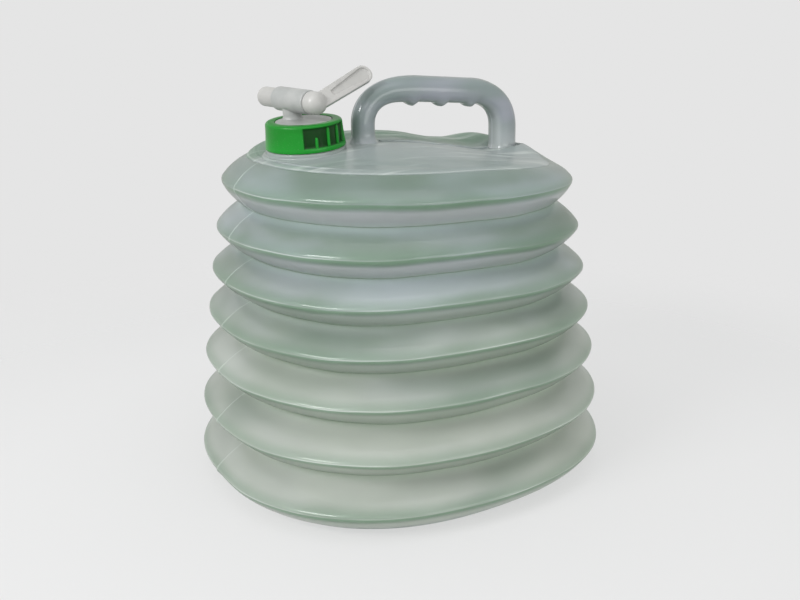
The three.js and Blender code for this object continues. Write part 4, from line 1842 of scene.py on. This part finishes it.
@dataclass
class LeverTap:
    """The tap: a flange and stem with a barrel, and a plug with a spout, a domed hub and a lever."""

    moulding: Moulding
    ring_top: float = 30.4
    flange_under: float = 25.5
    flange_top: float = 27.5
    flange_radius: float = 24.3
    disc_radius: float = 20.5
    disc_top: float = 30.0
    stem_radius: float = 6.9
    stem_bore: float = 3.6
    stem_x: float = -12.5
    barrel_radius: float = 9.0
    barrel_rise: float = 13.4
    barrel_back: float = -26.0
    barrel_front: float = 10.0
    bore: float = 7.5
    plug: float = 7.4
    spout_end: float = -44.0
    spout_bore: float = 5.0
    hub_start: float = 10.3
    hub_radius: float = 8.5
    hub_length: float = 6.0
    hub_dome: float = 6.6
    yaw_degrees: float = -73.5
    rise_degrees: float = 17.5
    lever_reach: float = 55.0
    roll_degrees: float = 52.0
    lever_thick: float = 5.0
    root_half: float = 6.0
    tip_half: float = 7.0
    voxel: float = 0.34

    @property
    def height(self) -> float:
        """The height of the barrel's axis above the rim."""
        return self.ring_top + self.barrel_rise

    @property
    def seat(self) -> Matrix:
        """The place of the tap's own axes, in millimetres."""
        return self.moulding.neck_frame @ Matrix.Rotation(math.radians(self.yaw_degrees), 4, "Z")

    def rod(self, profile: list[Pair], sides: int = 64) -> np.ndarray:
        """Gives a profile of radius and place turned about the barrel's axis."""
        rings = turned_rings(profile, sides)
        return np.stack([rings[..., 2], rings[..., 1], rings[..., 0] + self.height], axis=-1)

    def fuse(self, name: str, solids: list[np.ndarray], holes: list[np.ndarray], smooth: int,
             material: Finish) -> Piece:
        """Joins solids into one moulded piece with soft inner corners.

        Args:
            name: The name of the piece.
            solids: The rings of each solid, closed by fans.
            holes: The rings of each hole.
            smooth: How often the joined skin is smoothed.
            material: The finish of the piece.

        Returns:
            The piece, in its place on the neck.
        """
        made = ring_piece(name, solids[0], False)
        for rings in solids[1:]:
            combine(made, rings, "UNION")
        for rings in holes:
            combine(made, rings, "DIFFERENCE")
        remesh = made.modifiers.new("skin", "REMESH")
        remesh.mode = "VOXEL"
        remesh.voxel_size = self.voxel * MM
        soft = made.modifiers.new("soft", "SMOOTH")
        soft.factor = 0.5
        soft.iterations = smooth
        settle(made)
        dress(made, material)
        seat_mesh(made.data, self.seat)
        return made

    def paddle(self, start: float, end: float, root: float, tip: float, low: float,
               high: float) -> np.ndarray:
        """Gives a tapered strip with a round tip, lying flat along +Y, as rings from low to high.

        Args:
            start: Where the strip starts.
            end: Where its tip ends.
            root: Half its width at the start.
            tip: Half its width at the tip.
            low: The height of its underside.
            high: The height of its top.

        Returns:
            The two rings.
        """
        line = [(root, start)]
        for turn in np.linspace(0, math.pi, 33):
            line.append((tip * math.cos(turn), end - tip + tip * math.sin(turn)))
        line.append((-root, start))
        return np.array([[(x, y, z) for x, y in line] for z in (low, high)])

    def build_body(self, material: Finish) -> None:
        """Builds the flange with its disc, the stem and the bored barrel.

        Args:
            material: Their finish.
        """
        disc = [
            (0.4, self.flange_under), (self.flange_radius, self.flange_under),
            (self.flange_radius, self.flange_top), (self.disc_radius, self.flange_top),
            (self.disc_radius, self.disc_top), (0.4, self.disc_top),
        ]
        flange = turned_rings(rounded(disc, 0.3, 2), 96)
        stem = turned_rings([
            (self.stem_radius + 1.2, self.flange_top), (self.stem_radius + 0.6, self.disc_top),
            (self.stem_radius, self.disc_top + 2.0), (self.stem_radius, self.height - 0.3),
        ], 64)
        port = turned_rings([
            (self.stem_bore, self.flange_under - 10), (self.stem_bore, self.height - 2.7),
        ], 40)
        for rings in (stem, port):
            rings[:, :, 0] += self.stem_x
        barrel = self.rod([
            (self.barrel_radius - 1.0, self.barrel_back), (self.barrel_radius, self.barrel_back + 1.0),
            (self.barrel_radius, self.barrel_front - 0.8), (self.barrel_radius - 0.8, self.barrel_front),
        ])
        bore = self.rod([(self.bore, self.barrel_back - 20), (self.bore, self.barrel_front + 20)])
        body = self.fuse("tap_barrel", [flange, stem, barrel], [bore, port], 5, material)
        finish_piece(body, Body.TAP.value, "tap_natural", "tap_body")

    def build_plug(self, material: Finish) -> None:
        """Builds the plug with its spout, its domed hub and the dished lever.

        Args:
            material: Their finish.
        """
        dome = self.hub_start + self.hub_length
        core = [
            (0.4, self.spout_end), (self.plug - 1.3, self.spout_end), (self.plug - 0.4, self.spout_end + 0.4),
            (self.plug, self.spout_end + 1.4), (self.plug, self.hub_start),
            (self.hub_radius - 0.5, self.hub_start), (self.hub_radius, self.hub_start + 0.5),
            (self.hub_radius, dome),
        ]
        for turn in np.linspace(0, math.pi / 2, 12)[1:]:
            core.append((max(self.hub_radius * math.cos(turn), 0.2), dome + self.hub_dome * math.sin(turn)))
        middle = (self.hub_start + dome + self.hub_dome) / 2
        tilt = Matrix.Translation((middle, 0, self.height))
        tilt = tilt @ Matrix.Rotation(math.radians(self.rise_degrees), 4, "X")
        tilt = tilt @ Matrix.Rotation(math.radians(self.roll_degrees), 4, "Y")
        half = self.lever_thick / 2
        arm = self.paddle(0, self.lever_reach, self.root_half, self.tip_half, -half, half)
        dish = self.paddle(15.0, self.lever_reach - 2.0, 2.0, 5.0, half - 1.4, half + 12)
        drain = self.rod([(self.spout_bore, self.spout_end - 20), (self.spout_bore, self.stem_x + 7.2)])
        solids = [self.rod(core), moved(arm, tilt)]
        plug = self.fuse("tap_plug", solids, [moved(dish, tilt), drain], 10, material)
        finish_piece(plug, Body.LEVER.value, "tap_white", "tap_lever")

    def build(self, finishes: Finishes) -> None:
        """Builds the tap's body and its lever."""
        self.build_body(finishes.natural)
        self.build_plug(finishes.white)


# The studio

@dataclass
class Studio:
    """A pale floor, soft light and the camera at the photograph's place."""

    camera_place: Triple = (-0.3344, -0.6467, 0.3335)
    yaw_degrees: float = 35.359
    pitch_degrees: float = 11.283
    roll_degrees: float = 0.854
    lens: float = 41.08
    shift: Pair = (-0.158, -0.09375)
    pale: float = 0.783
    floor_tone: float = 0.74
    shadow_share: float = 0.3
    bright_side: Triple = (-0.6, -0.6, 0.7)
    dim_sky: Colour = (0.72, 0.73, 0.70, 1.0)
    bright_sky: Colour = (0.80, 0.81, 0.82, 1.0)

    def camera(self) -> None:
        """Places the camera."""
        angles = (self.yaw_degrees, self.pitch_degrees, self.roll_degrees)
        yaw, pitch, roll = (math.radians(a) for a in angles)
        forward = Vector((math.sin(yaw) * math.cos(pitch), math.cos(yaw) * math.cos(pitch), -math.sin(pitch)))
        right = Vector((math.cos(yaw), -math.sin(yaw), 0))
        up = right.cross(forward)
        across = right * math.cos(roll) + up * math.sin(roll)
        above = up * math.cos(roll) - right * math.sin(roll)
        turn = Matrix((across, above, -forward)).transposed()
        data = bpy.data.cameras.new("camera")
        data.lens = self.lens
        data.sensor_width = 36.0
        data.shift_x, data.shift_y = self.shift
        data.clip_start = 0.01
        camera = bpy.data.objects.new("camera", data)
        camera.matrix_world = Matrix.Translation(self.camera_place) @ turn.to_4x4()
        bpy.context.scene.collection.objects.link(camera)
        bpy.context.scene.camera = camera

    def floor(self) -> None:
        """Lays a pale floor that fades into the background."""
        profile = [
            (0.3, -0.4), (600.0, -0.4), (1500.0, -0.4), (3000.0, -0.4), (3000.0, -2.0), (0.3, -2.0),
        ]
        material, w = new_material("floor")
        floor = ring_piece("floor", turned_rings(profile, 96), False, material)
        place = w.node("ShaderNodeTexCoord").outputs["Object"]
        length = w.fed("ShaderNodeVectorMath", {0: place}, "Value", operation="LENGTH")
        caught = self.floor_tone * self.shadow_share
        own = self.pale * (1 - self.shadow_share)
        shell = w.fed("ShaderNodeBsdfPrincipled", {
            "Base Color": (caught, caught, caught, 1), "Emission Color": (own, own, own, 1),
            "Emission Strength": 1.0, "Roughness": 0.9, "Specular IOR Level": 0.1,
            "Alpha": w.between(length, 0.28, 0.75, 1.0, 0.0),
        })
        w.feed(w.node("ShaderNodeOutputMaterial").inputs["Surface"], shell)

    def world(self) -> None:
        """Sets a plain background, and a soft sky for the light."""
        scene = bpy.context.scene
        scene.world = bpy.data.worlds.new("studio")
        scene.world.use_nodes = True
        tree = scene.world.node_tree
        tree.nodes.clear()
        w = Wiring(tree)
        plain = w.fed("ShaderNodeBackground", {"Color": (self.pale, self.pale, self.pale, 1)})
        place = w.node("ShaderNodeTexCoord").outputs["Generated"]
        side = Vector(self.bright_side).normalized()
        toward = w.fed("ShaderNodeVectorMath", {0: place, 1: side}, "Value", operation="DOT_PRODUCT")
        tone = w.blend(w.between(toward, -0.7, 0.9), self.dim_sky, self.bright_sky)
        sky = w.fed("ShaderNodeBackground", {"Color": tone})
        seen = w.node("ShaderNodeLightPath").outputs["Is Camera Ray"]
        mixed = w.fed("ShaderNodeMixShader", {0: seen, 1: sky, 2: plain})
        w.feed(w.node("ShaderNodeOutputWorld").inputs["Surface"], mixed)

    def lamp(self, name: str, place: Triple, size: Pair, watts: float, colour: Triple) -> None:
        """Hangs one soft box that faces the container.

        Args:
            name: The name of the lamp.
            place: Where it hangs, in metres.
            size: Its sides, in metres.
            watts: Its power.
            colour: The colour of its light.
        """
        data = bpy.data.lights.new(name, "AREA")
        data.shape = "RECTANGLE"
        data.size, data.size_y = size
        data.energy = watts
        data.color = colour
        lamp = bpy.data.objects.new(name, data)
        lamp.location = place
        aim = Vector((0, 0, 0.14)) - Vector(place)
        lamp.rotation_euler = aim.to_track_quat("-Z", "Y").to_euler()
        bpy.context.scene.collection.objects.link(lamp)

    def build(self) -> None:
        """Sets up the whole studio."""
        scene = bpy.context.scene
        scene.view_settings.view_transform = "Standard"
        self.camera()
        self.floor()
        self.world()
        self.lamp("key", (-1.3, -0.6, 0.9), (0.7, 0.9), 2.5, (0.96, 0.98, 1.0))
        self.lamp("streak", (-1.35, -0.3, 1.0), (0.75, 0.35), 12.0, (1.0, 1.0, 1.0))
        self.lamp("window", (-0.75, -1.35, 1.0), (0.5, 0.3), 1.2, (1.0, 1.0, 1.0))
        self.lamp("overhead", (-0.3, -0.5, 1.4), (1.3, 0.8), 2.6, (1.0, 1.0, 1.0))
        self.lamp("fill", (0.3, -1.5, 0.35), (1.2, 0.4), 4.5, (1.0, 1.0, 0.98))


def main() -> None:
    """Builds the container piece by piece."""
    logging.basicConfig(level=logging.INFO, format="%(message)s")
    finishes = Finishes()
    moulding = Moulding()
    thread = helix_rule()
    Bellows(moulding).build(finishes)
    BasePan(moulding).build(finishes)
    TopPlate(moulding).build(finishes)
    CarryHandle(moulding).build(finishes)
    ScrewNeck(moulding).build(finishes, thread)
    ScrewRing(moulding).build(finishes, thread)
    LeverTap(moulding).build(finishes)
    dress(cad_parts["seal_washer"], finishes.rubber)
    Studio().build()


if __name__ == "__main__":
    main()
